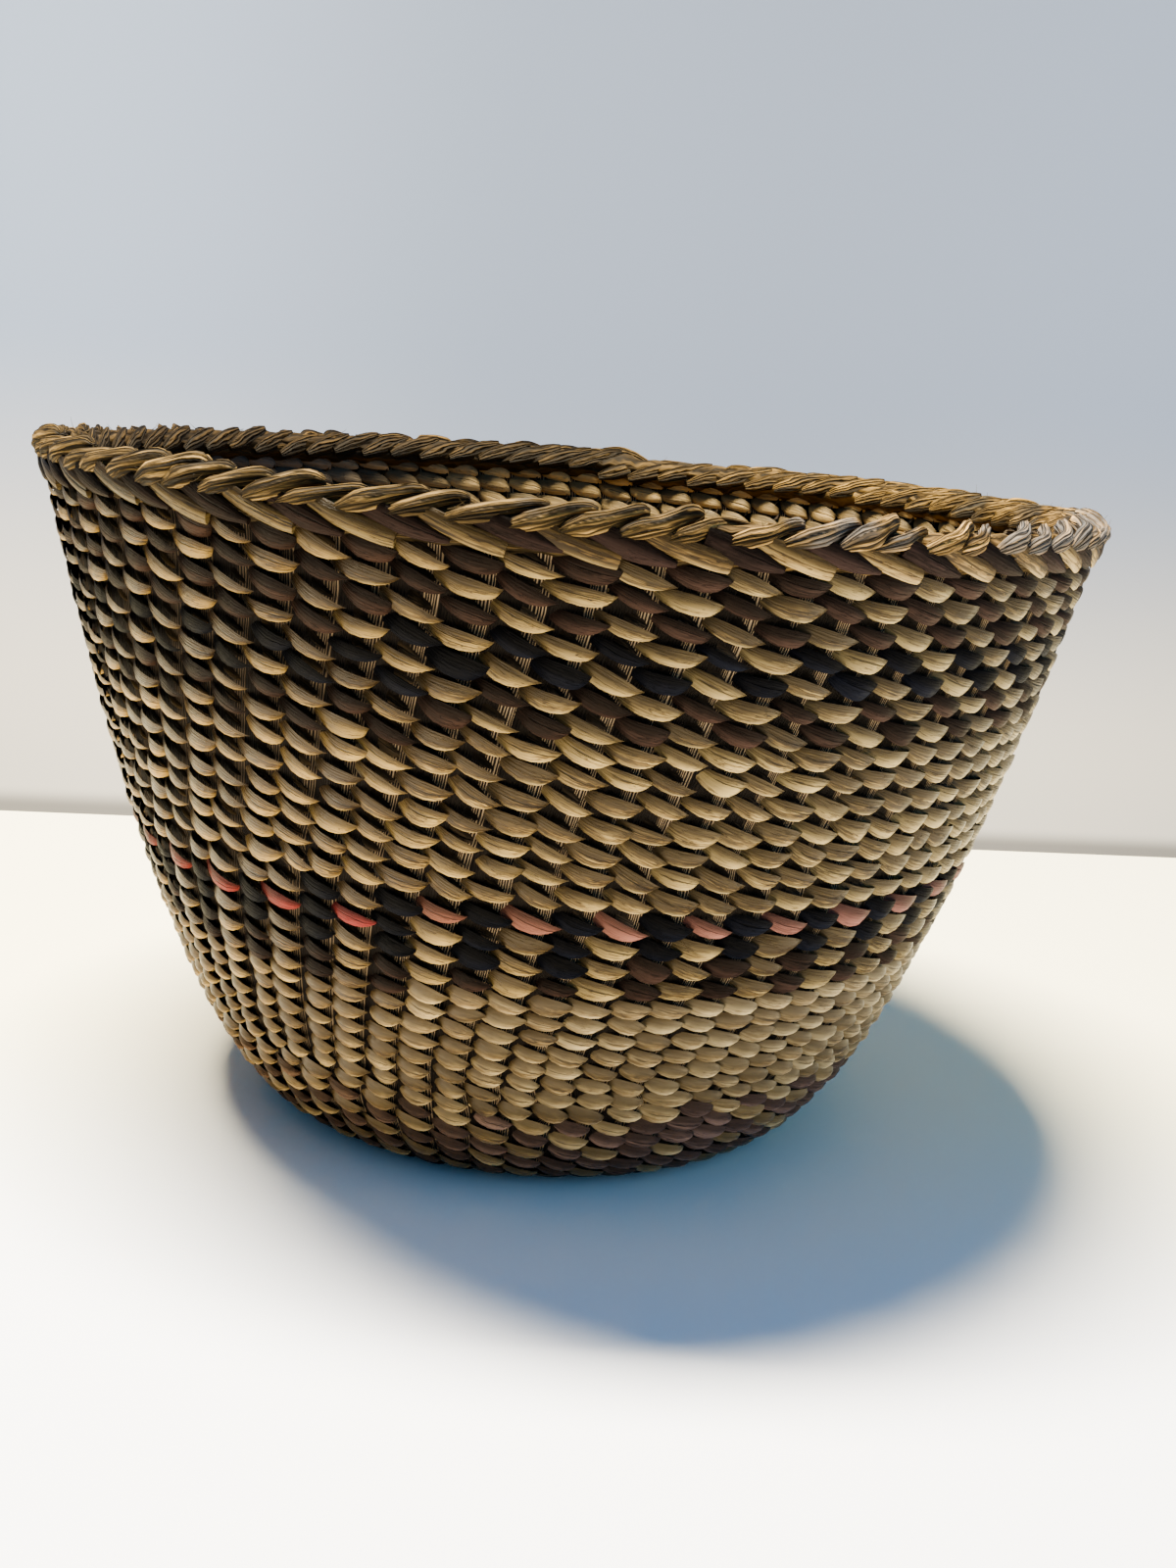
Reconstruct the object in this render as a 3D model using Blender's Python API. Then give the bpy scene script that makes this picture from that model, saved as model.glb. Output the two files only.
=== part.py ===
"""Twined basket: a flared bowl of warps bound by a spiral of twined weft, closed by a plaited rim.

Run with: blender --background --python part.py
Metres, +Z up. The origin is the middle of the base, on the surface that the basket stands on.

Every place on the basket is given by its distance along the outer face, measured from the middle of the base
up to the rim, and by its depth into the wall from that face. From the outer face inwards the wall holds the
outer run of the weft, the warps, and the inner run of the weft.

Warps that cross under the base turn up at both ends, so each makes two stakes of the wall. The warps that are
added later are folded in half over the weft, and make two stakes side by side.
"""

import bisect
import math
from typing import NamedTuple

import bmesh
import bpy
from mathutils import Vector

# Outline of the outer face
STANDING_RADIUS = 0.0508
BASE_RISE = 0.0010
CORNER_RADIUS = 0.012
FLARE_ANGLE = math.radians(38.7)
BELLY_REACH = 0.0278
RIM_RADIUS = 0.1038
RIM_HEIGHT = 0.1290

# Thicknesses through the wall
WEFT_THICKNESS = 0.0013
WARP_THICKNESS = 0.0014
WARP_CLEARANCE = 0.00035
GAP = 0.0003

# Warps
WARP_WIDTH = 0.0024
WARP_SPACING = 0.00285
CENTRE_WARP_WIDTH = 0.0018
CROSSED_WARPS_EACH_WAY = 8
FOLDED_WARPS_IN_WALL = 7

# Weft, from the base up: how many turns of the spiral each strand makes on the wall
BASE_COURSES = 10
WALL_STRANDS = [
    ("foot_brown_weft", 6, "brown_weft"),
    ("lower_tan_weft", 7, "tan_weft"),
    ("lower_brown_weft", 2, "brown_weft"),
    ("lower_black_weft", 1, "black_weft"),
    ("pink_weft", 1, "pink_weft"),
    ("middle_tan_weft", 7, "tan_weft"),
    ("middle_brown_weft", 2, "brown_weft"),
    ("upper_black_weft", 2, "black_weft"),
    ("upper_brown_weft", 4, "brown_weft"),
]
RIDGE_PLACE = 0.3
STRAND_TIP = 0.0005

# Plaited rim
PLAIT_HEIGHT = 0.0088
PLAIT_BULGE = 0.0012
PLAIT_STRAND = 0.0033
PLAIT_CREST = 0.0030

# Fineness of the facets
SEGMENTS = 32
SEAM_SEGMENT = -9
LINE_STEPS = 60
LARGEST_SAG = 0.00034
SHARP_ANGLE = math.radians(50)

# Linear colour, roughness
MATERIALS = {
    "tan_weft": ((0.43, 0.31, 0.15), 0.62),
    "brown_weft": ((0.085, 0.042, 0.026), 0.70),
    "black_weft": ((0.012, 0.013, 0.017), 0.60),
    "pink_weft": ((0.42, 0.085, 0.075), 0.60),
    "inner_weft": ((0.15, 0.105, 0.060), 0.75),
    "warp_cord": ((0.22, 0.14, 0.065), 0.80),
    "rim_plait": ((0.30, 0.21, 0.105), 0.75),
}

WARP_DEPTH = WEFT_THICKNESS + WARP_CLEARANCE + WARP_THICKNESS / 2
INNER_WEFT_DEPTH = WEFT_THICKNESS + WARP_THICKNESS + 2 * WARP_CLEARANCE
WALL_DEPTH = INNER_WEFT_DEPTH + WEFT_THICKNESS
WARPS_AT_START = 4 * CROSSED_WARPS_EACH_WAY
WARPS_ON_BASE = 2 * WARPS_AT_START
WARPS_ON_WALL = WARPS_ON_BASE + 2 * FOLDED_WARPS_IN_WALL
FANNED_RADIUS = WARPS_AT_START * WARP_SPACING / math.tau
FOLD_RADIUS = WARPS_ON_BASE * WARP_SPACING / math.tau
CENTRE_WARP_SPACING = CENTRE_WARP_WIDTH + GAP
CENTRE_WARP_THICKNESS = (WARP_THICKNESS - GAP) / 2
CENTRE_HALF_LENGTH = (CROSSED_WARPS_EACH_WAY * CENTRE_WARP_SPACING + CENTRE_WARP_WIDTH) / 2
START_RADIUS = CENTRE_HALF_LENGTH / 2


def clear_scene():
    for old in list(bpy.data.objects):
        bpy.data.objects.remove(old)


def make_materials():
    made = {}
    for name, (colour, roughness) in MATERIALS.items():
        material = bpy.data.materials.new(name)
        material.use_nodes = True
        shader = material.node_tree.nodes["Principled BSDF"]
        shader.inputs["Base Color"].default_value = (*colour, 1.0)
        shader.inputs["Roughness"].default_value = roughness
        shader.inputs["Metallic"].default_value = 0.0
        made[name] = material
    return made


class OuterFace:
    """The line that the outer face follows: a slightly domed base, a round corner and a flaring wall."""

    def __init__(self):
        self.points = self.base_points() + self.corner_points() + self.wall_points()
        self.distances = [0.0]
        for a, b in zip(self.points, self.points[1:]):
            self.distances.append(self.distances[-1] + (b - a).length)
        self.length = self.distances[-1]
        self.base_length = self.distances[LINE_STEPS]
        self.bends = self.find_bends()

    def base_points(self):
        """A shallow parabola, BASE_RISE high in the middle."""
        radii = [STANDING_RADIUS * k / LINE_STEPS for k in range(LINE_STEPS + 1)]
        return [Vector((r, BASE_RISE * (1 - (r / STANDING_RADIUS) ** 2))) for r in radii]

    def corner_points(self):
        """An arc that turns from the floor to the wall's first slope."""
        turns = [FLARE_ANGLE * k / LINE_STEPS for k in range(1, LINE_STEPS + 1)]
        centre = Vector((STANDING_RADIUS, CORNER_RADIUS))
        return [centre + CORNER_RADIUS * Vector((math.sin(a), -math.cos(a))) for a in turns]

    def wall_points(self):
        """A quadratic curve: it leaves the corner along the flare and ends at the rim."""
        foot = self.corner_points()[-1]
        belly = foot + BELLY_REACH * Vector((math.cos(FLARE_ANGLE), math.sin(FLARE_ANGLE)))
        rim = Vector((RIM_RADIUS, RIM_HEIGHT))
        steps = [k / LINE_STEPS for k in range(1, LINE_STEPS + 1)]
        return [(1 - u) ** 2 * foot + 2 * u * (1 - u) * belly + u * u * rim for u in steps]

    def find_bends(self):
        """Distances at which every layer bends, so that straight runs sag no more than LARGEST_SAG."""
        found = [self.base_length]
        for before, distance in zip(self.distances[LINE_STEPS:], self.distances[LINE_STEPS + 1:]):
            turn = self.along(found[-1]).angle(self.along(distance))
            if (distance - found[-1]) * turn / 8 > LARGEST_SAG:
                found.append(before)
        return found

    def along(self, distance):
        k = min(bisect.bisect_right(self.distances, distance), len(self.distances) - 1)
        return (self.points[k] - self.points[k - 1]).normalized()

    def inward(self, distance):
        along = self.along(distance)
        return Vector((-along.y, along.x))

    def place(self, distance, depth):
        """Radius and height of a point this far along the outer face and this deep into the wall."""
        k = min(bisect.bisect_right(self.distances, distance), len(self.distances) - 1) - 1
        on_face = self.points[k] + self.along(distance) * (distance - self.distances[k])
        return on_face + depth * self.inward(distance)

    def stops(self, start, end):
        """Start, end and the bends between them."""
        return [start] + [bend for bend in self.bends if start + GAP < bend < end - GAP] + [end]


class Spiral(NamedTuple):
    """Weft that climbs one course a turn between two level edges, and tapers off along both of them."""

    start: float
    end: float
    courses: int

    @property
    def pitch(self):
        return (self.end - self.start) / self.courses

    @property
    def tip_turns(self):
        """Turns from the taper's end to where the strand is STRAND_TIP wide."""
        return (STRAND_TIP + GAP) / self.pitch

    def edge(self, turn):
        """Distance of the strand's upper edge at this turn. The turn above starts from it."""
        return self.start + self.pitch * min(max(turn, 0), self.courses)


FACE = OuterFace()
PLAIT_START = FACE.length - PLAIT_HEIGHT
BASE_PITCH = (FACE.base_length - START_RADIUS) / BASE_COURSES
COURSES_ON_WALL = sum(turns for _, turns, _ in WALL_STRANDS) - 1
BASE_WEFT = Spiral(START_RADIUS, FACE.base_length - BASE_PITCH, BASE_COURSES - 1)
WALL_WEFT = Spiral(FACE.base_length, PLAIT_START, COURSES_ON_WALL)
ADDING_DISTANCE = WALL_WEFT.edge(WALL_STRANDS[0][1])


def add_object(name, bm, material):
    bmesh.ops.recalc_face_normals(bm, faces=bm.faces)
    mesh = bpy.data.meshes.new(name)
    bm.to_mesh(mesh)
    bm.free()
    mesh.materials.append(material)
    mesh.shade_smooth()
    mesh.set_sharp_from_angle(angle=SHARP_ANGLE)
    made = bpy.data.objects.new(name, mesh)
    bpy.context.scene.collection.objects.link(made)


def turned(name, section, material):
    """Spins a section of (radius, height) points round the axis. It may start and end on the axis."""
    bm = bmesh.new()
    corners = [bm.verts.new((point.x, 0, point.y)) for point in section]
    closing = [] if section[0].x == 0 else [(corners[-1], corners[0])]
    edges = [bm.edges.new(ends) for ends in list(zip(corners, corners[1:])) + closing]
    bmesh.ops.spin(
        bm,
        geom=corners + edges,
        cent=(0, 0, 0),
        axis=(0, 0, 1),
        angle=math.tau,
        steps=SEGMENTS,
        use_merge=True,
    )
    bmesh.ops.remove_doubles(bm, verts=bm.verts, dist=GAP / 100)
    add_object(name, bm, material)


def swept(name, loops, material):
    """Joins a row of equal loops of points into one body with closed ends."""
    bm = bmesh.new()
    rows = [[bm.verts.new(point) for point in loop] for loop in loops]
    for row, after in zip(rows, rows[1:]):
        for k in range(len(row)):
            bm.faces.new((row[k - 1], row[k], after[k], after[k - 1]))
    bm.faces.new(rows[0])
    bm.faces.new(rows[-1])
    add_object(name, bm, material)


def on_facets(place, angle):
    """The point at this angle of a turned shape, whose facets lie a little inside their corners' circle."""
    half_facet = math.pi / SEGMENTS
    from_middle = angle % (2 * half_facet) - half_facet
    radius = place.x * math.cos(half_facet) / math.cos(from_middle)
    return Vector((radius * math.cos(angle), radius * math.sin(angle), place.y))


def ridge_section(start, end):
    """An outer run of weft: flat against the warps, with its ridge low on its face."""
    return [
        FACE.place(start, WEFT_THICKNESS),
        FACE.place(start + RIDGE_PLACE * (end - start), 0),
        FACE.place(end, WEFT_THICKNESS),
    ]


def build_strand(name, spiral, first_turn, last_turn, material):
    """The outer run of one strand of the spiral, which climbs clockwise seen from above."""
    first = max(first_turn, spiral.tip_turns)
    last = min(last_turn, spiral.courses + 1 - spiral.tip_turns)
    end_gap = GAP / 2 / (math.tau * FACE.place(spiral.edge(first), 0).x)
    facets = range(math.floor(first * SEGMENTS) + 1, math.ceil(last * SEGMENTS))
    turns = [first + end_gap] + [facet / SEGMENTS for facet in facets] + [last - end_gap]
    loops = []
    for turn in turns:
        angle = math.tau * (SEAM_SEGMENT / SEGMENTS - turn)
        section = ridge_section(spiral.edge(turn - 1) + GAP / 2, spiral.edge(turn) - GAP / 2)
        loops.append([on_facets(point, angle) for point in section])
    swept(name, loops, material)


def foot_section(start, end):
    """The course that the basket stands on, cut flat on the floor."""
    inner_edge = FACE.place(start, WEFT_THICKNESS)
    outer_edge = FACE.place(end, WEFT_THICKNESS)
    return [
        inner_edge,
        Vector((inner_edge.x + RIDGE_PLACE * WEFT_THICKNESS, 0)),
        Vector((outer_edge.x - GAP, 0)),
        outer_edge,
    ]


def shell_section(start, end):
    """The inner run of the weft between two distances, as one layer."""
    stops = FACE.stops(start, end)
    outer_side = [FACE.place(stop, INNER_WEFT_DEPTH) for stop in stops]
    inner_side = [FACE.place(stop, WALL_DEPTH) for stop in reversed(stops)]
    return outer_side + inner_side


def build_base_weft(materials):
    build_strand("base_weft", BASE_WEFT, 0, BASE_COURSES, materials["brown_weft"])
    foot = foot_section(FACE.base_length - BASE_PITCH + GAP / 2, FACE.base_length - GAP / 2)
    turned("foot_course", foot, materials["brown_weft"])
    floor = shell_section(0, FACE.base_length - GAP / 2)
    floor[0].x = floor[-1].x = 0
    turned("inner_weft_base", floor, materials["inner_weft"])


def build_wall_weft(materials):
    turn = 0
    for name, turns, colour in WALL_STRANDS:
        build_strand(name, WALL_WEFT, turn, turn + turns, materials[colour])
        turn += turns
    floors = {
        "inner_weft_foot": WALL_WEFT.start,
        "inner_weft_lower": ADDING_DISTANCE,
        "inner_weft_middle": WALL_WEFT.edge(sum(turns for _, turns, _ in WALL_STRANDS[:3])),
        "inner_weft_upper": WALL_WEFT.edge(sum(turns for _, turns, _ in WALL_STRANDS[:6])),
    }
    ends = list(floors.values())[1:] + [WALL_WEFT.end]
    for (name, start), end in zip(floors.items(), ends):
        turned(name, shell_section(start + GAP / 2, end - GAP / 2), materials["inner_weft"])


class Station(NamedTuple):
    """One place along a warp."""

    point: Vector
    inward: Vector
    width: float
    thickness: float


def along_share(distance, start, end):
    return min(1.0, max(0.0, (distance - start) / (end - start)))


class Stake:
    """One upright of the wall, by its angle where the warps fan out, on the base and on the wall."""

    def __init__(self, fanned_angle, base_angle, wall_angle):
        self.fanned_angle = fanned_angle
        self.base_angle = base_angle
        self.wall_angle = wall_angle

    def angle(self, distance):
        """Stakes stand aside for those that are added, before these start."""
        on_base = along_share(distance, FANNED_RADIUS, FOLD_RADIUS - WARP_WIDTH)
        on_wall = along_share(distance, FACE.base_length, ADDING_DISTANCE - WARP_WIDTH)
        spread = self.fanned_angle + on_base * (self.base_angle - self.fanned_angle)
        return spread + on_wall * (self.wall_angle - spread)

    def run_from(self, start):
        """Stations from this distance up to the warp's end inside the rim's plait."""
        top = FACE.length - PLAIT_CREST - GAP
        marks = {start, FOLD_RADIUS - WARP_WIDTH, ADDING_DISTANCE - WARP_WIDTH, top}
        marks |= {bend for bend in FACE.bends if bend < top - GAP}
        return [self.station(mark) for mark in sorted(marks) if mark >= start]

    def station(self, distance):
        angle = self.angle(distance)
        inward = FACE.inward(distance)
        turned_inward = Vector((inward.x * math.cos(angle), inward.x * math.sin(angle), inward.y))
        point = on_facets(FACE.place(distance, WARP_DEPTH), angle)
        return Station(point, turned_inward, WARP_WIDTH, WARP_THICKNESS)


def seat_angle(seat, seats):
    return math.tau * (seat + 0.5) / seats


def wall_fold_seats():
    """The seats on the base after which a folded warp is added in the wall, evenly round the basket."""
    spacing = WARPS_ON_BASE / FOLDED_WARPS_IN_WALL
    return [math.floor((k + 0.5) * spacing) for k in range(FOLDED_WARPS_IN_WALL)]


def wall_angle(base_seat):
    """Where the stake of this seat on the base stands on the wall, once room is made for the added ones."""
    turns, seat = divmod(base_seat, WARPS_ON_BASE)
    added_before = sum(1 for fold_seat in wall_fold_seats() if fold_seat < seat)
    return seat_angle(seat + 2 * added_before, WARPS_ON_WALL) + math.tau * turns


def crossed_stake(fanned_seat):
    """Two of these stand together on the base, then two of a folded warp."""
    base_seat = 4 * (fanned_seat // 2) + 1 + fanned_seat % 2
    fanned_angle = seat_angle(fanned_seat, WARPS_AT_START)
    return Stake(fanned_angle, seat_angle(base_seat, WARPS_ON_BASE), wall_angle(base_seat))


def base_fold_stake(base_seat):
    on_base = seat_angle(base_seat, WARPS_ON_BASE)
    return Stake(on_base, on_base, wall_angle(base_seat))


def wall_fold_stake(wall_seat):
    on_wall = seat_angle(wall_seat, WARPS_ON_WALL)
    return Stake(on_wall, on_wall, on_wall)


def build_warp(name, stations, material):
    """Carries a flat strip through its stations, mitred where it turns."""
    points = [station.point for station in stations]
    runs = [(after - before).normalized() for before, after in zip(points, points[1:])]
    loops = []
    for station, arriving, leaving in zip(stations, runs[:1] + runs, runs + runs[-1:]):
        along = (arriving + leaving).normalized()
        across = along.cross(station.inward).normalized()
        through = across.cross(along).normalized()
        flat_run = (leaving - leaving.dot(through) * through).normalized()
        side = across * station.width / 2 / along.dot(flat_run)
        up = through * station.thickness / 2
        corners = ((-1, -1), (1, -1), (1, 1), (-1, 1))
        loops.append([station.point + a * side + b * up for a, b in corners])
    swept(name, loops, material)


def build_crossed_warps(direction, quarter_turns, level, material):
    """Long warps laid side by side across the base, thin where they cross the others."""
    height = FACE.place(0, WARP_DEPTH + level).y
    turn = math.tau / 4 * quarter_turns
    seats_aside = CROSSED_WARPS_EACH_WAY * quarter_turns
    for number in range(CROSSED_WARPS_EACH_WAY):
        offset = (number - (CROSSED_WARPS_EACH_WAY - 1) / 2) * CENTRE_WARP_SPACING
        middle = []
        for reach in (-CENTRE_HALF_LENGTH, CENTRE_HALF_LENGTH):
            x = reach * math.cos(turn) - offset * math.sin(turn)
            y = reach * math.sin(turn) + offset * math.cos(turn)
            point = Vector((x, y, height))
            middle.append(Station(point, Vector((0, 0, 1)), CENTRE_WARP_WIDTH, CENTRE_WARP_THICKNESS))
        near = crossed_stake(number - CROSSED_WARPS_EACH_WAY // 2 + seats_aside)
        far = crossed_stake(5 * CROSSED_WARPS_EACH_WAY // 2 - 1 - number + seats_aside)
        stations = far.run_from(FANNED_RADIUS)[::-1] + middle + near.run_from(FANNED_RADIUS)
        build_warp(f"{direction}_warp_{number + 1}", stations, material)


def build_folded_warp(name, start, stakes, material):
    left, right = (stake.run_from(start) for stake in stakes)
    build_warp(name, left[::-1] + right, material)


def build_warps(materials):
    material = materials["warp_cord"]
    level = (CENTRE_WARP_THICKNESS + GAP) / 2
    build_crossed_warps("lengthwise", 0, -level, material)
    build_crossed_warps("widthwise", 1, level, material)
    for number in range(WARPS_AT_START // 2):
        stakes = [base_fold_stake(4 * number - 1), base_fold_stake(4 * number)]
        build_folded_warp(f"folded_base_warp_{number + 1}", FOLD_RADIUS, stakes, material)
    for number, base_seat in enumerate(wall_fold_seats()):
        first_seat = base_seat + 2 * number + 1
        stakes = [wall_fold_stake(first_seat), wall_fold_stake(first_seat + 1)]
        build_folded_warp(f"folded_wall_warp_{number + 1}", ADDING_DISTANCE, stakes, material)


def build_rim(materials):
    """Three strands of plait: one outside the warps' ends, one inside them and one that crests them."""
    start = PLAIT_START + GAP / 2
    shoulder = FACE.length - PLAIT_CREST
    middle = (start + shoulder) / 2
    outer_back = WEFT_THICKNESS
    outer_front = outer_back - PLAIT_STRAND
    inner_back = INNER_WEFT_DEPTH
    inner_front = inner_back + PLAIT_STRAND
    outer_strand = [
        FACE.place(start, outer_back),
        FACE.place(middle, outer_front),
        FACE.place(shoulder - GAP, outer_front + PLAIT_BULGE),
        FACE.place(shoulder - GAP, outer_back),
    ]
    inner_strand = [
        FACE.place(start, inner_back),
        FACE.place(shoulder - GAP, inner_back),
        FACE.place(shoulder - GAP, inner_front - PLAIT_BULGE),
        FACE.place(middle, inner_front),
    ]
    crest_inset = PLAIT_BULGE + PLAIT_CREST / 2
    top_strand = [
        FACE.place(shoulder, outer_front + PLAIT_BULGE),
        FACE.place(FACE.length, outer_front + crest_inset),
        FACE.place(FACE.length, inner_front - crest_inset),
        FACE.place(shoulder, inner_front - PLAIT_BULGE),
    ]
    turned("rim_strand_outer", outer_strand, materials["rim_plait"])
    turned("rim_strand_inner", inner_strand, materials["rim_plait"])
    turned("rim_strand_top", top_strand, materials["rim_plait"])


def main():
    clear_scene()
    materials = make_materials()
    build_base_weft(materials)
    build_wall_weft(materials)
    build_warps(materials)
    build_rim(materials)


main()
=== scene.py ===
"""Twined basket, dressed: the strips, strands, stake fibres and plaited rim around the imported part.

Every place is given by an azimuth and a distance along the outer face, measured from the middle of the base
up to the rim, with an outward offset from that face. The weft is one spiral that climbs a course a turn,
clockwise seen from above, and crosses every stake that has started by then. Each crossing is one strip.
"""

import math
from functools import partial

import bpy
import numpy as np
from bpy.props import FloatProperty, FloatVectorProperty, PointerProperty
from mathutils import Matrix, Vector


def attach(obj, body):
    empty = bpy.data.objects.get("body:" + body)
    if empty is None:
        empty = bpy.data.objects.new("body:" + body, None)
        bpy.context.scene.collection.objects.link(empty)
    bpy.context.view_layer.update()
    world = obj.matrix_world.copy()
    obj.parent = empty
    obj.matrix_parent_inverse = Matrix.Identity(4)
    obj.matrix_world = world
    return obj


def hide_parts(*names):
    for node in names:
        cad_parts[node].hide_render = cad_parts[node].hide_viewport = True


bl_info = {
    "name": "Twined basket",
    "version": (1, 0, 0),
    "blender": (4, 5, 0),
    "location": "View3D > Sidebar > Basket",
    "description": "Builds the woven surface of a flared twined basket round its packed part",
    "category": "Object",
}

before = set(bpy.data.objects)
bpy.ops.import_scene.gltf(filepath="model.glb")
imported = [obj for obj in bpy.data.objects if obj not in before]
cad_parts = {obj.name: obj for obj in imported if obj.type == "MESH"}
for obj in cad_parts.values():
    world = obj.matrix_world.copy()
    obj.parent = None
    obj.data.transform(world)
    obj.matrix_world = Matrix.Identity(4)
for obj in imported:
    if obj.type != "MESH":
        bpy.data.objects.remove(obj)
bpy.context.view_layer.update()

TURN = 2 * math.pi
MM = 0.001

# Outline of the outer face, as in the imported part
STANDING_RADIUS = 0.0508
BASE_RISE = 0.0010
CORNER_RADIUS = 0.012
FLARE_ANGLE = math.radians(38.7)
BELLY_REACH = 0.0278
RIM_RADIUS = 0.1038
RIM_HEIGHT = 0.1290
# Steps in each of the line's three curves
LINE_STEPS = 400

# Where the spiral's rows lie along the outer face at the seam, from the row nearest the middle of the base
FIRST_ROW = -11
ROW_DISTANCES = MM * np.array(
    [6.5, 11.0, 15.5, 20.0, 24.5, 29.0, 33.5, 38.0, 42.5, 47.2]
    + [51.8, 56.2, 60.5, 65.0, 69.5, 73.6, 77.6, 81.5, 85.4, 89.1, 92.8]
    + [96.5, 100.4, 104.2, 107.8, 112.0, 116.7, 121.0, 125.5, 130.5, 135.2, 139.5]
    + [143.7, 148.5, 153.3, 157.5, 161.7, 166.0, 170.2, 174.7, 178.8, 183.2, 187.0]
)
LAST_ROW = FIRST_ROW + len(ROW_DISTANCES) - 1
SEAM_DEGREES = -102.0
SEAM = math.radians(SEAM_DEGREES)
PLAIT_HIDES_FROM = 0.1895

# Stakes: how many start between two distances, and the azimuth of one that the rest are counted from
STAKE_STARTS = [(16, 0.004, 0.004), (16, 0.015, 0.019), (27, 0.030, 0.036), (13, 0.0785, 0.0855), (5, 0.127, 0.140)]
REFERENCE_DISTANCES = MM * np.array([60, 89, 97, 108, 117, 125.5, 135, 144, 153, 162, 170, 179, 187])
REFERENCE_AZIMUTHS = np.radians(
    [-105.4, -103.8, -102.8, -101.2, -100.0, -98.8, -97.8, -96.3, -95.1, -94.0, -92.8, -91.6, -91.1]
)
# Length over which a new stake's share of the round grows, columns of the stakes' table, and the share of a group's
# range by which one start follows the last, counted round the range
SPREAD_LENGTH = 0.006
STAKE_COLUMNS = 500
EVEN_STEP = 0.618
# Rounds in which a crossing's turn settles, since the stake's azimuth there depends on the turn
ROUNDS = 12

# Where each colour of the spiral begins, in turns
BANDS = {
    "foot_brown": -99.0,
    "lower_tan": 5.91,
    "lower_brown": 13.0,
    "lower_black": 14.94,
    "pink": 16.0,
    "after_pink": 17.0,
    "middle_tan": 17.04,
    "middle_brown": 24.0,
    "upper_black": 26.0,
    "upper_brown": 28.0,
}

# Turns of a light strip at the front of the pink row and of an upper row, and where the order may shift by one
PINK_FRONT = 17 - math.radians(-98.8 - SEAM_DEGREES) / TURN
UPPER_FRONT = 31 - math.radians(-91.1 - SEAM_DEGREES) / TURN
SHIFT_FROM = 21


class OuterFace:
    """The line of the outer face: a parabola under the base, an arc, and a quadratic curve up the flared wall."""

    def __init__(self):
        share = np.linspace(0, 1, LINE_STEPS + 1)
        base = np.stack([STANDING_RADIUS * share, BASE_RISE * (1 - share**2)], 1)
        turn = FLARE_ANGLE * share[1:]
        corner = np.stack([np.sin(turn), 1 - np.cos(turn)], 1) * CORNER_RADIUS + (STANDING_RADIUS, 0)
        foot = corner[-1]
        belly = foot + BELLY_REACH * np.array([math.cos(FLARE_ANGLE), math.sin(FLARE_ANGLE)])
        u = share[1:, None]
        wall = (1 - u) ** 2 * foot + 2 * u * (1 - u) * belly + u**2 * np.array([RIM_RADIUS, RIM_HEIGHT])
        self.line = np.concatenate([base, corner, wall])
        steps = np.diff(self.line, axis=0)
        lengths = np.hypot(steps[:, 0], steps[:, 1])
        self.distances = np.concatenate([[0], np.cumsum(lengths)])
        self.length = self.distances[-1]
        along = steps / lengths[:, None]
        self.along = np.concatenate([along, along[-1:]])

    def radius(self, distance):
        return np.interp(distance, self.distances, self.line[:, 0])

    def place(self, azimuth, distance, out):
        """Point at this azimuth and distance, moved by out along the outward normal and straight on past the rim."""
        over = np.maximum(distance - self.length, 0)
        along_r = np.interp(distance, self.distances, self.along[:, 0])
        along_z = np.interp(distance, self.distances, self.along[:, 1])
        radius = self.radius(distance) + along_r * over + along_z * out
        height = np.interp(distance, self.distances, self.line[:, 1]) + along_z * over - along_r * out
        return np.stack([radius * np.cos(azimuth), radius * np.sin(azimuth), height], -1)


FACE = OuterFace()


def smooth_step(x):
    x = np.clip(x, 0, 1)
    return x * x * (3 - 2 * x)


def row_distance(turn):
    """Distance of the spiral's middle at this turn, straight between the rows."""
    rows = np.arange(FIRST_ROW, LAST_ROW + 1)
    beyond = np.maximum(turn - LAST_ROW, 0) * (ROW_DISTANCES[-1] - ROW_DISTANCES[-2])
    return np.interp(turn, rows, ROW_DISTANCES) + beyond


class Stakes:
    """Every stake's azimuth along the wall. Each one's share of the round grows from nothing where it starts."""

    def __init__(self):
        self.starts = self.spread_starts()
        distances = np.linspace(0, FACE.length, STAKE_COLUMNS)
        share = smooth_step((distances - self.starts[:, None]) / SPREAD_LENGTH + 0.5)
        share[self.starts == self.starts.min()] = 1
        places = np.cumsum(share, axis=0) - share / 2
        total = share.sum(0)
        reference = np.interp(distances, REFERENCE_DISTANCES, REFERENCE_AZIMUTHS)
        self.azimuths = reference + TURN * (places - places[self.reference]) / total
        self.spacings = TURN * share / total

    def spread_starts(self):
        """Starts of all stakes in order round the basket: each group goes evenly between those before it."""
        order = np.empty(0)
        for count, first, last in STAKE_STARTS:
            new = first + (last - first) * (np.arange(count) * EVEN_STEP % 1)
            gaps = np.floor((np.arange(count) + 0.5) * len(order) / count).astype(int)
            order = np.insert(order, gaps, new)
        old = np.flatnonzero(order < STAKE_STARTS[1][1])
        self.reference = old[len(old) // 2]
        return order

    def table_place(self, distance):
        """Place of these distances among the table's columns."""
        return np.clip(distance / FACE.length, 0, 1) * (STAKE_COLUMNS - 1)

    def azimuth(self, stake, distance):
        """Azimuth of these stakes at these distances, straight between the table's columns."""
        place = self.table_place(distance)
        low = np.minimum(place.astype(int), STAKE_COLUMNS - 2)
        part = place - low
        return self.azimuths[stake, low] * (1 - part) + self.azimuths[stake, low + 1] * part


STAKES = Stakes()


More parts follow.
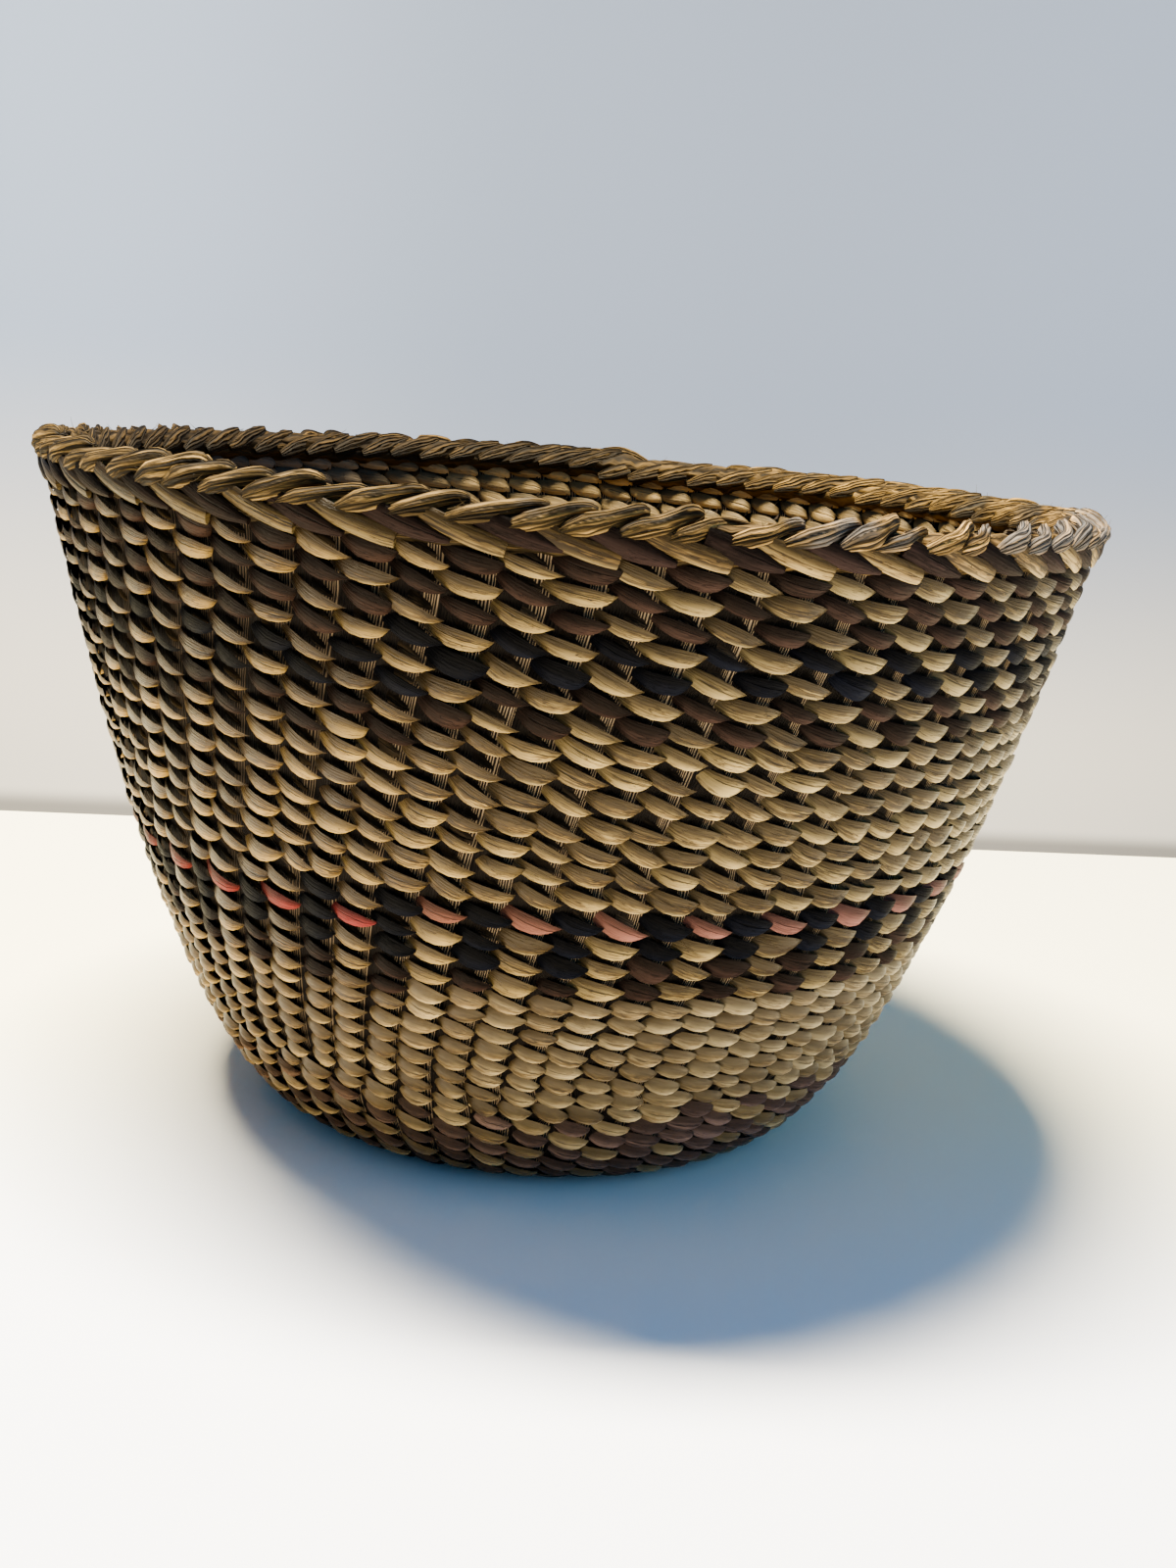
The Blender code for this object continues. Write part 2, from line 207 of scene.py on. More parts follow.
class Crossings:
    """Where the spiral crosses the stakes, in the order in which it was twined."""

    def __init__(self):
        laps = np.arange(FIRST_ROW - 1, LAST_ROW + 2)
        stake, lap = (grid.ravel() for grid in np.meshgrid(np.arange(len(STAKES.starts)), laps, indexing="ij"))
        turn = lap.astype(float)
        for _ in range(ROUNDS):
            turn = lap + (SEAM - STAKES.azimuth(stake, row_distance(turn))) / TURN
        distance = row_distance(turn)
        kept = (STAKES.starts[stake] < distance) & (distance < PLAIT_HIDES_FROM) & (turn > FIRST_ROW)
        order = np.argsort(turn[kept], kind="stable")
        self.turn = turn[kept][order]
        self.distance = distance[kept][order]
        self.azimuth = SEAM - TURN * self.turn
        gap = np.diff(self.turn)
        self.spacing = TURN * np.append(gap, gap[-1])
        self.count = len(self.turn)
        self.light = self.light_strand()
        self.band = np.searchsorted(list(BANDS.values()), self.turn, side="right") - 1

    def light_strand(self):
        """True for every second crossing, counted from the light one at the front of the pink row."""
        front = np.argmin(abs(self.turn - PINK_FRONT))
        upper_front = np.argmin(abs(self.turn - UPPER_FRONT))
        light = (np.arange(self.count) - front) % 2 == 0
        shifted = (self.turn > SHIFT_FROM) & ((upper_front - front) % 2 == 1)
        return light ^ shifted

    def within(self, *names):
        """True for the crossings in the bands of these names."""
        return np.isin(self.band, [list(BANDS).index(name) for name in names])

    def sizes(self, mask=slice(None)):
        """What the strips' shapes need of all crossings, or of those that a mask picks."""
        return picked({key: getattr(self, key) for key in ("turn", "distance", "azimuth", "spacing", "light")}, mask)


def picked(values, mask):
    """A dictionary of arrays, with only what the mask picks of each."""
    return {key: value[mask] for key, value in values.items()}


CROSSINGS = Crossings()


class Value:
    """A node's output, on which sums and products add Math nodes."""

    def __init__(self, finish, socket):
        self.finish = finish
        self.socket = socket

    def maths(self, operation, *others):
        return self.finish.add("ShaderNodeMath", {"operation": operation}, [self, *others])

    def __add__(self, other):
        return self.maths("ADD", other)

    def __sub__(self, other):
        return self.maths("SUBTRACT", other)

    def __rsub__(self, other):
        return self.finish.add("ShaderNodeMath", {"operation": "SUBTRACT"}, [other, self])

    def __mul__(self, other):
        return self.maths("MULTIPLY", other)

    __radd__ = __add__
    __rmul__ = __mul__

    def between(self, low, high):
        """0 below low, 1 above high and smooth between."""
        settings = {"interpolation_type": "SMOOTHSTEP"}
        return self.finish.add("ShaderNodeMapRange", settings, [self, low, high, 0.0, 1.0])

    def wave(self):
        """From 0 to 1 and back, once in each unit."""
        return (self * TURN).maths("SINE") * 0.5 + 0.5


class Finish:
    """A material under construction."""

    def __init__(self, name):
        self.material = bpy.data.materials.new(name)
        self.material.use_nodes = True
        self.tree = self.material.node_tree
        self.shader = self.tree.nodes["Principled BSDF"]

    def add(self, kind, settings=None, inputs=(), output=0):
        node = self.tree.nodes.new(kind)
        settings = dict(settings or {})
        stops = settings.pop("stops", None)
        for name, value in settings.items():
            setattr(node, name, value)
        if stops:
            ramp = node.color_ramp
            while len(ramp.elements) < len(stops):
                ramp.elements.new(0.5)
            for element, (place, colour) in zip(ramp.elements, stops):
                element.position = place
                element.color = (*colour, 1.0)
        pairs = inputs.items() if isinstance(inputs, dict) else enumerate(inputs)
        for name, value in pairs:
            self.feed(node.inputs[name], value)
        return Value(self, node.outputs[output])

    def feed(self, socket, value):
        if isinstance(value, Value):
            self.tree.links.new(value.socket, socket)
        else:
            socket.default_value = value

    def set(self, **values):
        """Gives values or links to the shader's own sockets. An underscore stands for a space."""
        for name, value in values.items():
            self.feed(self.shader.inputs[name.replace("_", " ")], value)

    def mix(self, share, first, second, blend="MIX"):
        settings = {"data_type": "RGBA", "blend_type": blend, "clamp_factor": True}
        first, second = (value if isinstance(value, Value) else (*value, 1.0) for value in (first, second))
        return self.add("ShaderNodeMix", settings, {0: share, 6: first, 7: second}, output=2)

    def tint_side_light(self, colour, left, right, span):
        """Painted light and shade: the colour times a tint that changes from left to right over a span in x."""
        return self.mix(1.0, colour, self.mix(self.coordinate(0).between(*span), left, right), "MULTIPLY")

    def attribute(self, name):
        return self.add("ShaderNodeAttribute", {"attribute_name": name}, output=2)

    def parts(self, place, *axes):
        return [self.add("ShaderNodeSeparateXYZ", {}, [place], output=axis) for axis in axes]

    def uv(self):
        """Share along a strip and share across it, from its own UV map."""
        return self.parts(self.add("ShaderNodeUVMap", {"uv_map": "strip"}), 0, 1)

    def object_place(self):
        return self.add("ShaderNodeTexCoord", {}, (), output=3)

    def coordinate(self, axis):
        return self.parts(self.object_place(), axis)[0]

    def noise(self, place, scale, detail=2.0, roughness=0.5):
        inputs = {"Vector": place, "Scale": scale, "Detail": detail, "Roughness": roughness}
        return self.add("ShaderNodeTexNoise", {}, inputs)

    def grain(self, x, y, z, detail=2.0, roughness=0.5, scale=1.0):
        """Noise at the place that three values make."""
        return self.noise(self.add("ShaderNodeCombineXYZ", {}, [x, y, z]), scale, detail, roughness)

    def ramp(self, share, stops):
        return self.add("ShaderNodeValToRGB", {"stops": stops}, [share])

    def bump(self, height, distance, strength=1.0):
        inputs = {"Strength": strength, "Distance": distance, "Height": height}
        self.set(Normal=self.add("ShaderNodeBump", {}, inputs))


WARM_GLOSS = (1.0, 0.86, 0.58, 1.0)


def strip_finish(name, shades, roughness, start, ridges, specks, shine, contrast, relief, grooves, sides):
    """Dry split leaf: fine lengthwise ridges, streaks, cracks and specks, with painted shade where a strip starts
    under the last and over its upper part, and a painted highlight along its lower edge.

    Shades are its deep, middle, light and edge colours, the edge colour being the painted highlight. Start is the
    share of the painted shade at a strip's start that is left out. Side light tints it with painted light and shade.
    """
    deep, middle, light, edge = shades
    dark = scaled(deep, 0.22)
    finish = Finish(name)
    along, across = finish.uv()
    chance = finish.attribute("chance")
    tone = finish.attribute("tone")
    streak = finish.grain(along * 1.6 + chance * 53.0, across * 4.5, chance * 71.0, 3.0, 0.55)
    fibre = finish.grain(along * 5.0 + chance * 31.0, across * 15.0, chance * 17.0, 2.0, 0.6)
    groove = finish.grain(along * 2.2 + chance * 47.0, across * 7.0, chance * 29.0, 1.0)
    wave = (across * ridges + streak * 1.2 + chance * 3.0).wave()
    line = 1.0 - (streak - 0.5).maths("ABSOLUTE").between(0.004, 0.022)
    shade = streak * 0.46 + fibre * 0.48 + wave * 0.06 + (tone - 0.5) * 0.30
    shade = (shade - 0.5) * contrast + 0.5 - line * groove.between(0.38, 0.56) * 0.42 * relief
    shade = shade - (1.0 - wave.between(0.04, 0.25)) * grooves
    colour = finish.ramp(shade, [(0.28, deep), (0.46, middle), (0.68, light)])
    # Painted highlight: the edge colour along the lower edge, from the strip's middle on
    lower_edge_highlight = 1.0 - across.between(0.02, 0.42)
    colour = finish.mix(lower_edge_highlight * along.between(0.25, 0.75) * 0.6, colour, edge)
    # Painted shade over the strip's upper part, where the strip above overhangs it
    upper = (across - chance * 0.3).between(0.22, 0.66)
    colour = finish.mix(upper * 0.9, colour, scaled(middle, 0.18))
    crack_place = across - 0.36 - chance * 0.3 - (streak - 0.5) * 0.22
    crack = (1.0 - crack_place.maths("ABSOLUTE").between(0.012, 0.04)) * chance.between(0.62, 0.66)
    crack = crack * along.between(0.22, 0.36)
    colour = finish.mix(crack * 0.85, colour, dark)
    speck = finish.grain(along * 9.0 + chance * 11.0, across * 5.0, chance * 91.0, 2.0, 0.6, 2.2)
    colour = finish.mix(speck.between(0.66, 0.74) * specks, colour, dark)
    # Painted shade at the strip's start, where it lies under the last strip
    painted_tuck_shade = 1.0 - (along - across * 0.18 - tone * 0.1).between(0.12, 0.58)
    colour = finish.mix(painted_tuck_shade * (1.0 - start), colour, scaled(middle, 0.17))
    # Painted light and shade: darker at the left of the basket, lighter at the right
    colour = finish.tint_side_light(colour, *sides)
    finish.bump(wave * 0.15 + fibre * 0.45 + streak * 0.6 - crack * 1.2 - line * 0.4, 0.00022, relief)
    finish.set(Base_Color=colour, Roughness=roughness - wave * 0.08 + speck * 0.1)
    finish.set(Specular_IOR_Level=shine, Specular_Tint=WARM_GLOSS)
    return finish.material


def fibre_finish(name, colour):
    """Bundled fibres that run along the piece: fine dark and light lines with broken ends, painted near black as
    shade outside a band along one side and towards the left of the basket.
    """
    deep, middle, light = (scaled(colour, share) for share in (0.03, 0.5, 1.5))
    finish = Finish(name)
    along, across = finish.uv()
    chance = finish.attribute("chance")
    wander = finish.grain(along * 3.0 + chance * 13.0, across * 5.0 + chance * 7.0, 0.0, 1.0)
    line = (across * 17.0 + wander * 2.0).wave()
    broken = finish.grain(along * 30.0, across * 18.0 + chance * 5.0, chance * 9.0)
    colour = finish.ramp(line * 0.75 + broken * 0.5, [(0.50, deep), (0.72, middle), (0.95, light)])
    # Painted shade: the fibres show only in a band along one side, and little towards the left of the basket;
    # elsewhere the stake is painted near black, as the shaded pocket between courses
    beside = (across + broken * 0.10 - 0.05).between(0.60, 0.72)
    beside = beside * (finish.coordinate(0).between(-0.06, 0.0) * 0.85 + 0.15)
    finish.bump(line + broken * 0.3, 0.0003, 0.9)
    finish.set(Base_Color=finish.mix(beside, deep, colour), Roughness=0.8, Specular_IOR_Level=0.05)
    return finish.material


def bundle_finish(name, colour, shares, grey):
    """Weathered bundle of the rim: deep lengthwise cracks, pale worn crests and grey patches, with painted light
    towards the right of the basket and painted shade on the far side.
    """
    deep, middle, light = (scaled(colour, share) for share in shares)
    finish = Finish(name)
    along, across = finish.uv()
    chance = finish.attribute("chance")
    wander = finish.grain(along * 2.0 + chance * 19.0, across * 3.0, chance * 41.0)
    crease = finish.grain(along * 1.1 + chance * 23.0, across * 9.0 + wander * 3.0, chance * 37.0, 3.0, 0.7)
    colour = finish.ramp(crease * 0.8 + wander * 0.25, [(0.43, deep), (0.53, middle), (0.65, light)])
    place = finish.object_place()
    side, depth = finish.parts(place, 0, 1)
    far = depth.between(-0.03, 0.03)
    # Painted light: brighter towards the right of the basket
    colour = finish.tint_side_light(colour, (1.0, 1.0, 1.0), (3.3, 3.15, 3.1), (-0.01, 0.08))
    weather = finish.noise(place, 60.0, 3.0) + side.between(0.0, 0.07) * 0.28 - 0.13 - far * 0.12
    colour = finish.mix(weather.between(0.50, 0.68) * 0.7, colour, grey)
    ply = (across * 6.0 + wander * 2.4 + crease * 0.6).wave()
    colour = finish.mix((1.0 - ply.between(0.03, 0.30)) * 0.9, colour, deep)
    # Painted shade on the far side of the rim, darker at its left
    colour = finish.mix(far, colour, finish.tint_side_light(colour, (0.40, 0.37, 0.32), (0.56, 0.56, 0.45), (-0.06, 0.08)))
    finish.bump(crease * 0.7 + wander * 0.4 + ply * 0.5, 0.0009, 1.0)
    finish.set(Base_Color=colour, Roughness=0.62 + crease * 0.2)
    finish.set(Specular_IOR_Level=0.08, Specular_Tint=WARM_GLOSS)
    return finish.material


def linear(colour):
    """sRGB 0 to 255 as linear values."""
    share = np.array(colour) / 255
    return tuple(float(c) for c in np.where(share <= 0.04045, share / 12.92, ((share + 0.055) / 1.055) ** 2.4))


def scaled(colour, share):
    """A colour times a number or times a tint."""
    return tuple(float(c) for c in np.multiply(tuple(colour), share))


def grid_faces(count, rings, around):
    """Quads of count closed tubes, and their end caps, as two arrays of vertex numbers."""
    first = np.arange(count)[:, None, None] * rings * around
    ring = first + np.arange(rings - 1)[None, :, None] * around
    side = np.arange(around)
    after = (side + 1) % around
    quads = np.stack([ring + side, ring + after, ring + around + after, ring + around + side], -1)
    ends = np.stack([first[:, 0] + side[::-1], first[:, 0] + (rings - 1) * around + side], 1)
    return quads.reshape(-1, 4), ends.reshape(-1, around)


def signed_volume(points, quads):
    a, b, c, d = (points[quads[:, k]] for k in range(4))
    return float(np.sum(np.cross(a, b) * c) + np.sum(np.cross(a, c) * d)) / 6


def across_shares(around):
    """Share across a strip of each point of its section: up the front face, then back down behind."""
    front = (around + 3) // 2
    return np.append(np.linspace(0, 1, front), np.linspace(1, 0, around - front + 2)[1:-1])


def add_tubes(name, points, material, values, replaces, sharp=60.0, shares=None):
    """One piece of closed tubes, from points of shape (count, rings, around, 3) and each tube's own values."""
    count, rings, around = points.shape[:3]
    quads, ends = grid_faces(count, rings, around)
    centred = points - points.mean((1, 2), keepdims=True)
    if signed_volume(centred.reshape(-1, 3), quads) < 0:
        quads, ends = quads[:, ::-1], ends[:, ::-1]
    along = np.linspace(0, 1, rings)[:, None]
    across = across_shares(around) if shares is None else shares
    values = {key: value[:, None, None] for key, value in values.items()}
    add_piece(name, points, quads.tolist() + ends.tolist(), (along, across), values, material, replaces, sharp)


def add_ring(name, points, material, repeats=40):
    """One piece that is a closed ring of shape (rings, around, 3), joined end to end."""
    rings, around = points.shape[:2]
    ring = np.arange(rings)[:, None]
    side = np.arange(around)
    ring_after = (ring + 1) % rings
    side_after = (side + 1) % around
    places = ((ring, side), (ring_after, side), (ring_after, side_after), (ring, side_after))
    quads = np.stack([row * around + place for row, place in places], -1).reshape(-1, 4)
    if signed_volume(points.reshape(-1, 3), quads) < 0:
        quads = quads[:, ::-1]
    shares = (ring / rings * repeats, side / around)
    add_piece(name, points, quads.tolist(), shares, {"chance": 0.0}, material, (), 60.0)


def add_piece(name, points, faces, shares, values, material, replaces, sharp):
    """A piece on the basket's one body, with its shares along and across as its UV map and values at its points."""
    grid = points.shape[:-1]
    mesh = bpy.data.meshes.new(name)
    mesh.from_pydata(points.reshape(-1, 3).tolist(), [], faces)
    corner = np.empty(len(mesh.loops), np.int32)
    mesh.loops.foreach_get("vertex_index", corner)
    place = np.stack([np.broadcast_to(share, grid) for share in shares], -1).reshape(-1, 2)[corner]
    mesh.uv_layers.new(name="strip").data.foreach_set("uv", place.astype(np.float32).ravel())
    for key, value in values.items():
        attribute = mesh.attributes.new(key, "FLOAT", "POINT")
        attribute.data.foreach_set("value", np.broadcast_to(value, grid).astype(np.float32).ravel())
    mesh.materials.append(material)
    mesh.shade_smooth()
    mesh.set_sharp_from_angle(angle=math.radians(sharp))
    piece = bpy.data.objects.new(name, mesh)
    bpy.context.scene.collection.objects.link(piece)
    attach(piece, "root")
    if replaces:
        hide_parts(*replaces)


def at_rings(*values):
    """A value for each ring of a strip, the same all round its section."""
    return np.array(values)[:, None]


# A strip's outlines at its rings: share along, then its upper and lower edges in half widths, and its lift
RING = at_rings(0.0, 0.13, 0.30, 0.50, 0.68, 0.84, 0.95, 1.0)
UPPER_POINTED = at_rings(1.0, 1.04, 0.96, 0.72, 0.38, -0.06, -0.42, -0.62)
UPPER_BLUNT = at_rings(0.98, 1.02, 1.03, 1.0, 0.90, 0.68, 0.42, 0.26)
UPPER_SQUARE = at_rings(1.0, 1.0, 1.0, 1.0, 1.0, 0.96, 0.90, 0.84)
UPPER_EYE = at_rings(0.30, 0.66, 0.94, 1.03, 0.96, 0.66, 0.26, -0.04)
LOWER = at_rings(-0.05, -0.50, -0.90, -1.04, -1.07, -1.04, -0.98, -0.90)
LOWER_OPEN = at_rings(0.58, 0.28, -0.36, -0.86, -1.05, -1.06, -0.97, -0.88)
LOWER_EYE = at_rings(-0.20, -0.56, -0.90, -1.05, -1.02, -0.80, -0.48, -0.24)
LIFT = at_rings(-1.15, -0.50, 0.28, 0.82, 1.0, 0.92, 0.56, 0.18)

# A strip's section: share across from the lower edge, and how far it falls back from the crown, in parts of the crown
SECTION_ACROSS = np.array([0.0, 0.16, 0.45, 0.78, 1.0, 0.70, 0.24])
SECTION_BACK = np.array([-1.2, -0.32, 0.0, -0.10, -0.62, -1.05, -1.55])

# Parts of a strip's shape that may be left out, and how near the middle of the base a strip may come
PLAIN = dict.fromkeys(("bow", "eye", "open", "square", "tilt"), 0.0)
NEAREST = 0.0005


def blend(first, second, share):
    return first * (1 - share) + second * share


def leaf_strips(azimuth, distance, spacing, shape, side=1.0):
    """Strips lying on the wall, each a section carried along its length, as azimuths, distances and offsets.

    The strip ends at azimuth and starts a length before it. Its two edges and its lift over the face are the
    tables above at each ring, stretched by the strip's own width and lift, and it falls by drop on the way.
    """
    part = {key: np.reshape(value, (-1, 1, 1)) for key, value in {**PLAIN, **shape}.items()}
    azimuth, distance, spacing = (value[:, None, None] for value in (azimuth, distance, spacing))
    half = part["width"] / 2
    upper = blend(blend(UPPER_POINTED, UPPER_BLUNT, part["blunt"]), UPPER_SQUARE, part["square"])
    upper = blend(upper, UPPER_EYE, part["eye"]) * half
    lower = blend(blend(LOWER, LOWER_OPEN, part["open"]), LOWER_EYE, part["eye"]) * half
    fall = part["drop"] * (0.55 - RING)
    bow = part["bow"] * np.sin(np.pi * RING)
    place = distance + lower + (upper - lower) * SECTION_ACROSS + fall + bow
    crown = part["crown"] * ((upper - lower) / (2 * half)) ** 0.5
    lift = part["lift"] * LIFT + part["rise"]
    out = lift + crown * SECTION_BACK + part["tilt"] * (0.4 - SECTION_ACROSS)
    lean = part["skew"] * SECTION_ACROSS * half / FACE.radius(distance)
    angle = azimuth - side * (spacing * part["length"] * (1 - RING) + lean)
    return angle, np.maximum(place, NEAREST), out


def spread(random, count, middle, wander):
    """Values round the middle, at most twice wander away from it."""
    return middle + wander * np.clip(random.standard_normal(count), -2, 2)


def as_share(values):
    return np.clip(values, 0, 1)


# Rows for which the outer strips' sizes are given
SIZED_ROWS = [-10, 0, 5, 8, 12, 14, 18, 24, 31]


def front_shape(random, crossings):
    """Sizes of the outer strips, row by row, each a little off from its neighbours'."""
    turn = crossings["turn"]
    by_row = partial(np.interp, turn, SIZED_ROWS)
    near = partial(spread, random, len(turn))
    pitch = np.interp(turn, [-10, 5, 8, 12, 15, 18, 31], [0.0044, 0.0042, 0.0038, 0.0038, 0.0044, 0.0044, 0.0042])
    full = (np.round(turn) % 2 == 0) == crossings["light"]
    width = pitch * by_row([1.12, 1.06, 1.01, 0.99, 0.95, 0.87, 0.78, 0.73, 0.74]) * (0.97 + 0.06 * full)
    lift = MM * by_row([0.5, 0.7, 1.3, 1.3, 1.35, 1.4, 1.45, 1.4, 1.35])
    on_wall = smooth_step((crossings["distance"] - 0.050) / 0.012)
    lift = lift * (0.35 + 0.65 * on_wall)
    blunt = by_row([0.8, 0.8, 0.8, 0.7, 0.55, 0.5, 0.45, 0.45, 0.5])
    blunt = blunt + by_row([0.0, 0.0, 0.05, 0.1, 0.15, 0.2, 0.32, 0.38, 0.38]) * np.where(full, 1, -1)
    blunt = as_share(near(blunt, 0.14))
    stretch = np.where(crossings["light"], 1.06, 0.94)
    to_right = smooth_step((np.cos(crossings["azimuth"]) - 0.3) / 0.4)
    return {
        "square": 0.75 * to_right * by_row([0.0, 0.0, 0.0, 0.0, 0.2, 0.5, 1.0, 1.0, 1.0]),
        "width": width * near(1.0, 0.085),
        "tilt": MM * by_row([0.0, 0.0, 0.0, 0.0, 0.0, 0.0, -0.1, -0.2, -0.2]),
        "length": stretch * near(by_row([1.25, 1.22, 1.15, 1.15, 1.2, 1.26, 1.30, 1.30, 1.30]), 0.06),
        "drop": MM * near(by_row([0.0, 0.0, 0.0, 0.1, 0.3, 0.5, 0.8, 1.3, 1.2]) * (1.35 - 0.7 * full), 0.3),
        "bow": MM * near(0.0, 0.12),
        "blunt": blunt,
        "lift": lift * stretch * near(1.0, 0.08),
        "rise": -lift * 0.45 - 0.0003 * (1 - on_wall),
        "crown": MM * near(by_row([0.4, 0.6, 1.3, 1.35, 1.1, 0.6, 0.38, 0.30, 0.32]), 0.05),
        "skew": near(by_row([0.0, 0.0, -0.1, -0.3, -0.6, -0.8, -0.9, -1.0, -1.0]), 0.2),
        "eye": as_share(near(by_row([0.5, 0.6, 0.95, 0.95, 0.8, 0.4, 0.0, 0.0, 0.0]), 0.1)),
        "open": as_share(near(by_row([0.0, 0.0, 0.0, 0.0, 0.1, 0.5, 0.8, 1.0, 1.0]), 0.15)),
    }


def back_shape(random, crossings):
    """Sizes of the strand behind: narrower, darker, and sunk above each front strip."""
    turn = crossings["turn"]
    near = partial(spread, random, len(turn))
    return {
        "width": MM * near(np.interp(turn, [-10, 5, 12, 18, 31], [3.4, 3.6, 3.4, 3.4, 3.2]), 0.25),
        "length": near(0.86, 0.05),
        "drop": MM * near(1.0, 0.25),
        "bow": MM * near(0.2, 0.1),
        "blunt": as_share(near(0.1, 0.15)),
        "lift": MM * near(0.9, 0.08),
        "rise": -0.0018,
        "crown": 0.0006,
        "skew": near(0.0, 0.1),
    }


def inner_shape(random, crossings):
    """Sizes of the strips on the inside of the bowl: short plump bumps."""
    turn = crossings["turn"]
    near = partial(spread, random, len(turn))
    return {
        "width": MM * near(np.interp(turn, [-10, 2, 6], [4.7, 4.4, 3.9]), 0.3),
        "length": near(1.12, 0.05),
        "drop": MM * near(np.interp(turn, [-10, 31], [0.0, 0.3]), 0.3),
        "blunt": as_share(near(0.8, 0.2)),
        "lift": MM * near(0.75, 0.1),
        "rise": -0.0003,
        "crown": MM * near(0.55, 0.08),
        "skew": near(0.2, 0.2),
    }


def outer_points(crossings, shape, moved=0.0, raised=0.0):
    """Strips on the outer face, moved by a share of their spacing, and kept above the table."""
    spacing = crossings["spacing"]
    azimuth = crossings["azimuth"] + moved * spacing
    points = FACE.place(*leaf_strips(azimuth, crossings["distance"] + raised, spacing, shape))
    points[..., 2] = np.maximum(points[..., 2], 0)
    return points


def length_prop(name, description, value):
    kind = {"unit": "LENGTH", "subtype": "DISTANCE"}
    return FloatProperty(name=name, description=description, default=value, min=0.0, **kind)


def power_prop(name, description, value):
    return FloatProperty(name=name, description=description, default=value, unit="POWER")


def colour_prop(name, description, value):
    kind = {"size": 3, "min": 0.0, "max": 1.0, "subtype": "COLOR"}
    return FloatVectorProperty(name=name, description=description, default=linear(value), **kind)


class BasketSizes(bpy.types.PropertyGroup):
    """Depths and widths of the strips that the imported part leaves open."""

    back_rise: length_prop("Back strand rise", "How far the strand behind shows above each front strip", 0.0010)
    inner_depth: length_prop("Inner weft depth", "Depth of the inner strips' backs from the outer face", 0.0034)
    stake_depth: length_prop("Stake depth", "Depth of the stakes' fibres from the outer face", 0.0015)
    rim_strip_width: length_prop("Rim strip width", "Width of the flat tan strips of the plaited rim", 0.0032)


class BasketColours(bpy.types.PropertyGroup):
    """Colours of the strips, bundles and fibres."""

    tan_deep: colour_prop("Tan, deep", "Darkest streaks of the tan strips", (44, 30, 10))
    tan_middle: colour_prop("Tan, middle", "Most of the tan strips", (116, 90, 41))
    tan_light: colour_prop("Tan, light", "Palest streaks of the tan strips", (186, 156, 84))
    # Painted highlight laid along the lower edge of the tan strips
    tan_edge: colour_prop("Tan, edge", "Lower edge of the tan strips", (222, 190, 112))
    brown: colour_prop("Brown", "Dyed brown strips", (36, 23, 15))
    plum: colour_prop("Plum brown", "Dark strips of the plaited rim", (23, 15, 11))
    black: colour_prop("Black", "Dyed blue-black strips", (7, 8, 12))
    pink: colour_prop("Pink", "Dyed pink strips", (132, 50, 48))
    faded_pink: colour_prop("Faded pink", "Pink strips where they have faded", (134, 84, 62))
    # Dark partly as the strand's own colour and partly as painted shade of the hollow above each strip
    back: colour_prop("Back strand", "Strand that shows dark above each strip", (36, 29, 18))
    stake: colour_prop("Stake fibres", "Fibres of the stakes between the courses", (120, 98, 68))
    rim: colour_prop("Rim bundles", "Worn bundles of the plaited rim", (80, 61, 29))
    grey: colour_prop("Weathered grey", "Grey patches of the rim", (112, 108, 102))
    inner: colour_prop("Inner weft", "Strips inside the bowl", (150, 126, 84))


class StageSettings(bpy.types.PropertyGroup):
    """Colours of the table and wall, and the lamps' powers."""

    floor: colour_prop("Floor", "Pale table", (254, 251, 245))
    backdrop: colour_prop("Backdrop", "Cool part of the wall behind, high up", (146, 155, 166))
    # Painted warm light on the wall, low down
    warm_lit_band: colour_prop("Warm band", "Wall behind just over the table", (242, 224, 190))
    key: power_prop("Key light", "Power of the overhead key light", 150.0)
    window: power_prop("Window light", "Power of the cool light in front", 6.5)
    wall: power_prop("Wall light", "Power of the light on the wall behind", 56.0)


# How much paler, and less yellow, the tan strips of the lower band and the foot are, and the foot's brown ones,
# shade by shade. The foot's tan and brown are lifted furthest, as painted light against the shade at the foot.
PALER = (1.52, 1.66, 2.35)
FOOT_PALER = (2.1, 2.3, 3.1)
FOOT_BROWN_LIFT = ((3.0, 3.7, 4.2), (8.8, 10.8, 11.8), (16.0, 19.8, 21.5), (15.0, 18.6, 20.2))

# Tints of painted light and shade at the left and right of the basket, mostly darker at the left and lighter at the
# right, and the span in x where they change
WALL_SIDE_LIGHT = ((0.55, 0.425, 0.185), (0.95, 0.99, 1.28), (-0.09, 0.09))
DARK_SIDE_LIGHT = ((0.56, 0.48, 0.36), (1.20, 1.28, 1.50), (-0.09, 0.09))
INNER_SIDE_LIGHT = ((0.36, 0.40, 0.66), (1.68, 1.53, 1.06), (-0.08, 0.0))
LEG_SIDE_LIGHT = ((0.62, 0.56, 0.46), (2.9, 2.75, 3.1), (-0.06, 0.09))
DARK_LEG_SIDE_LIGHT = ((0.56, 0.48, 0.36), (1.7, 1.65, 1.8), (-0.09, 0.09))
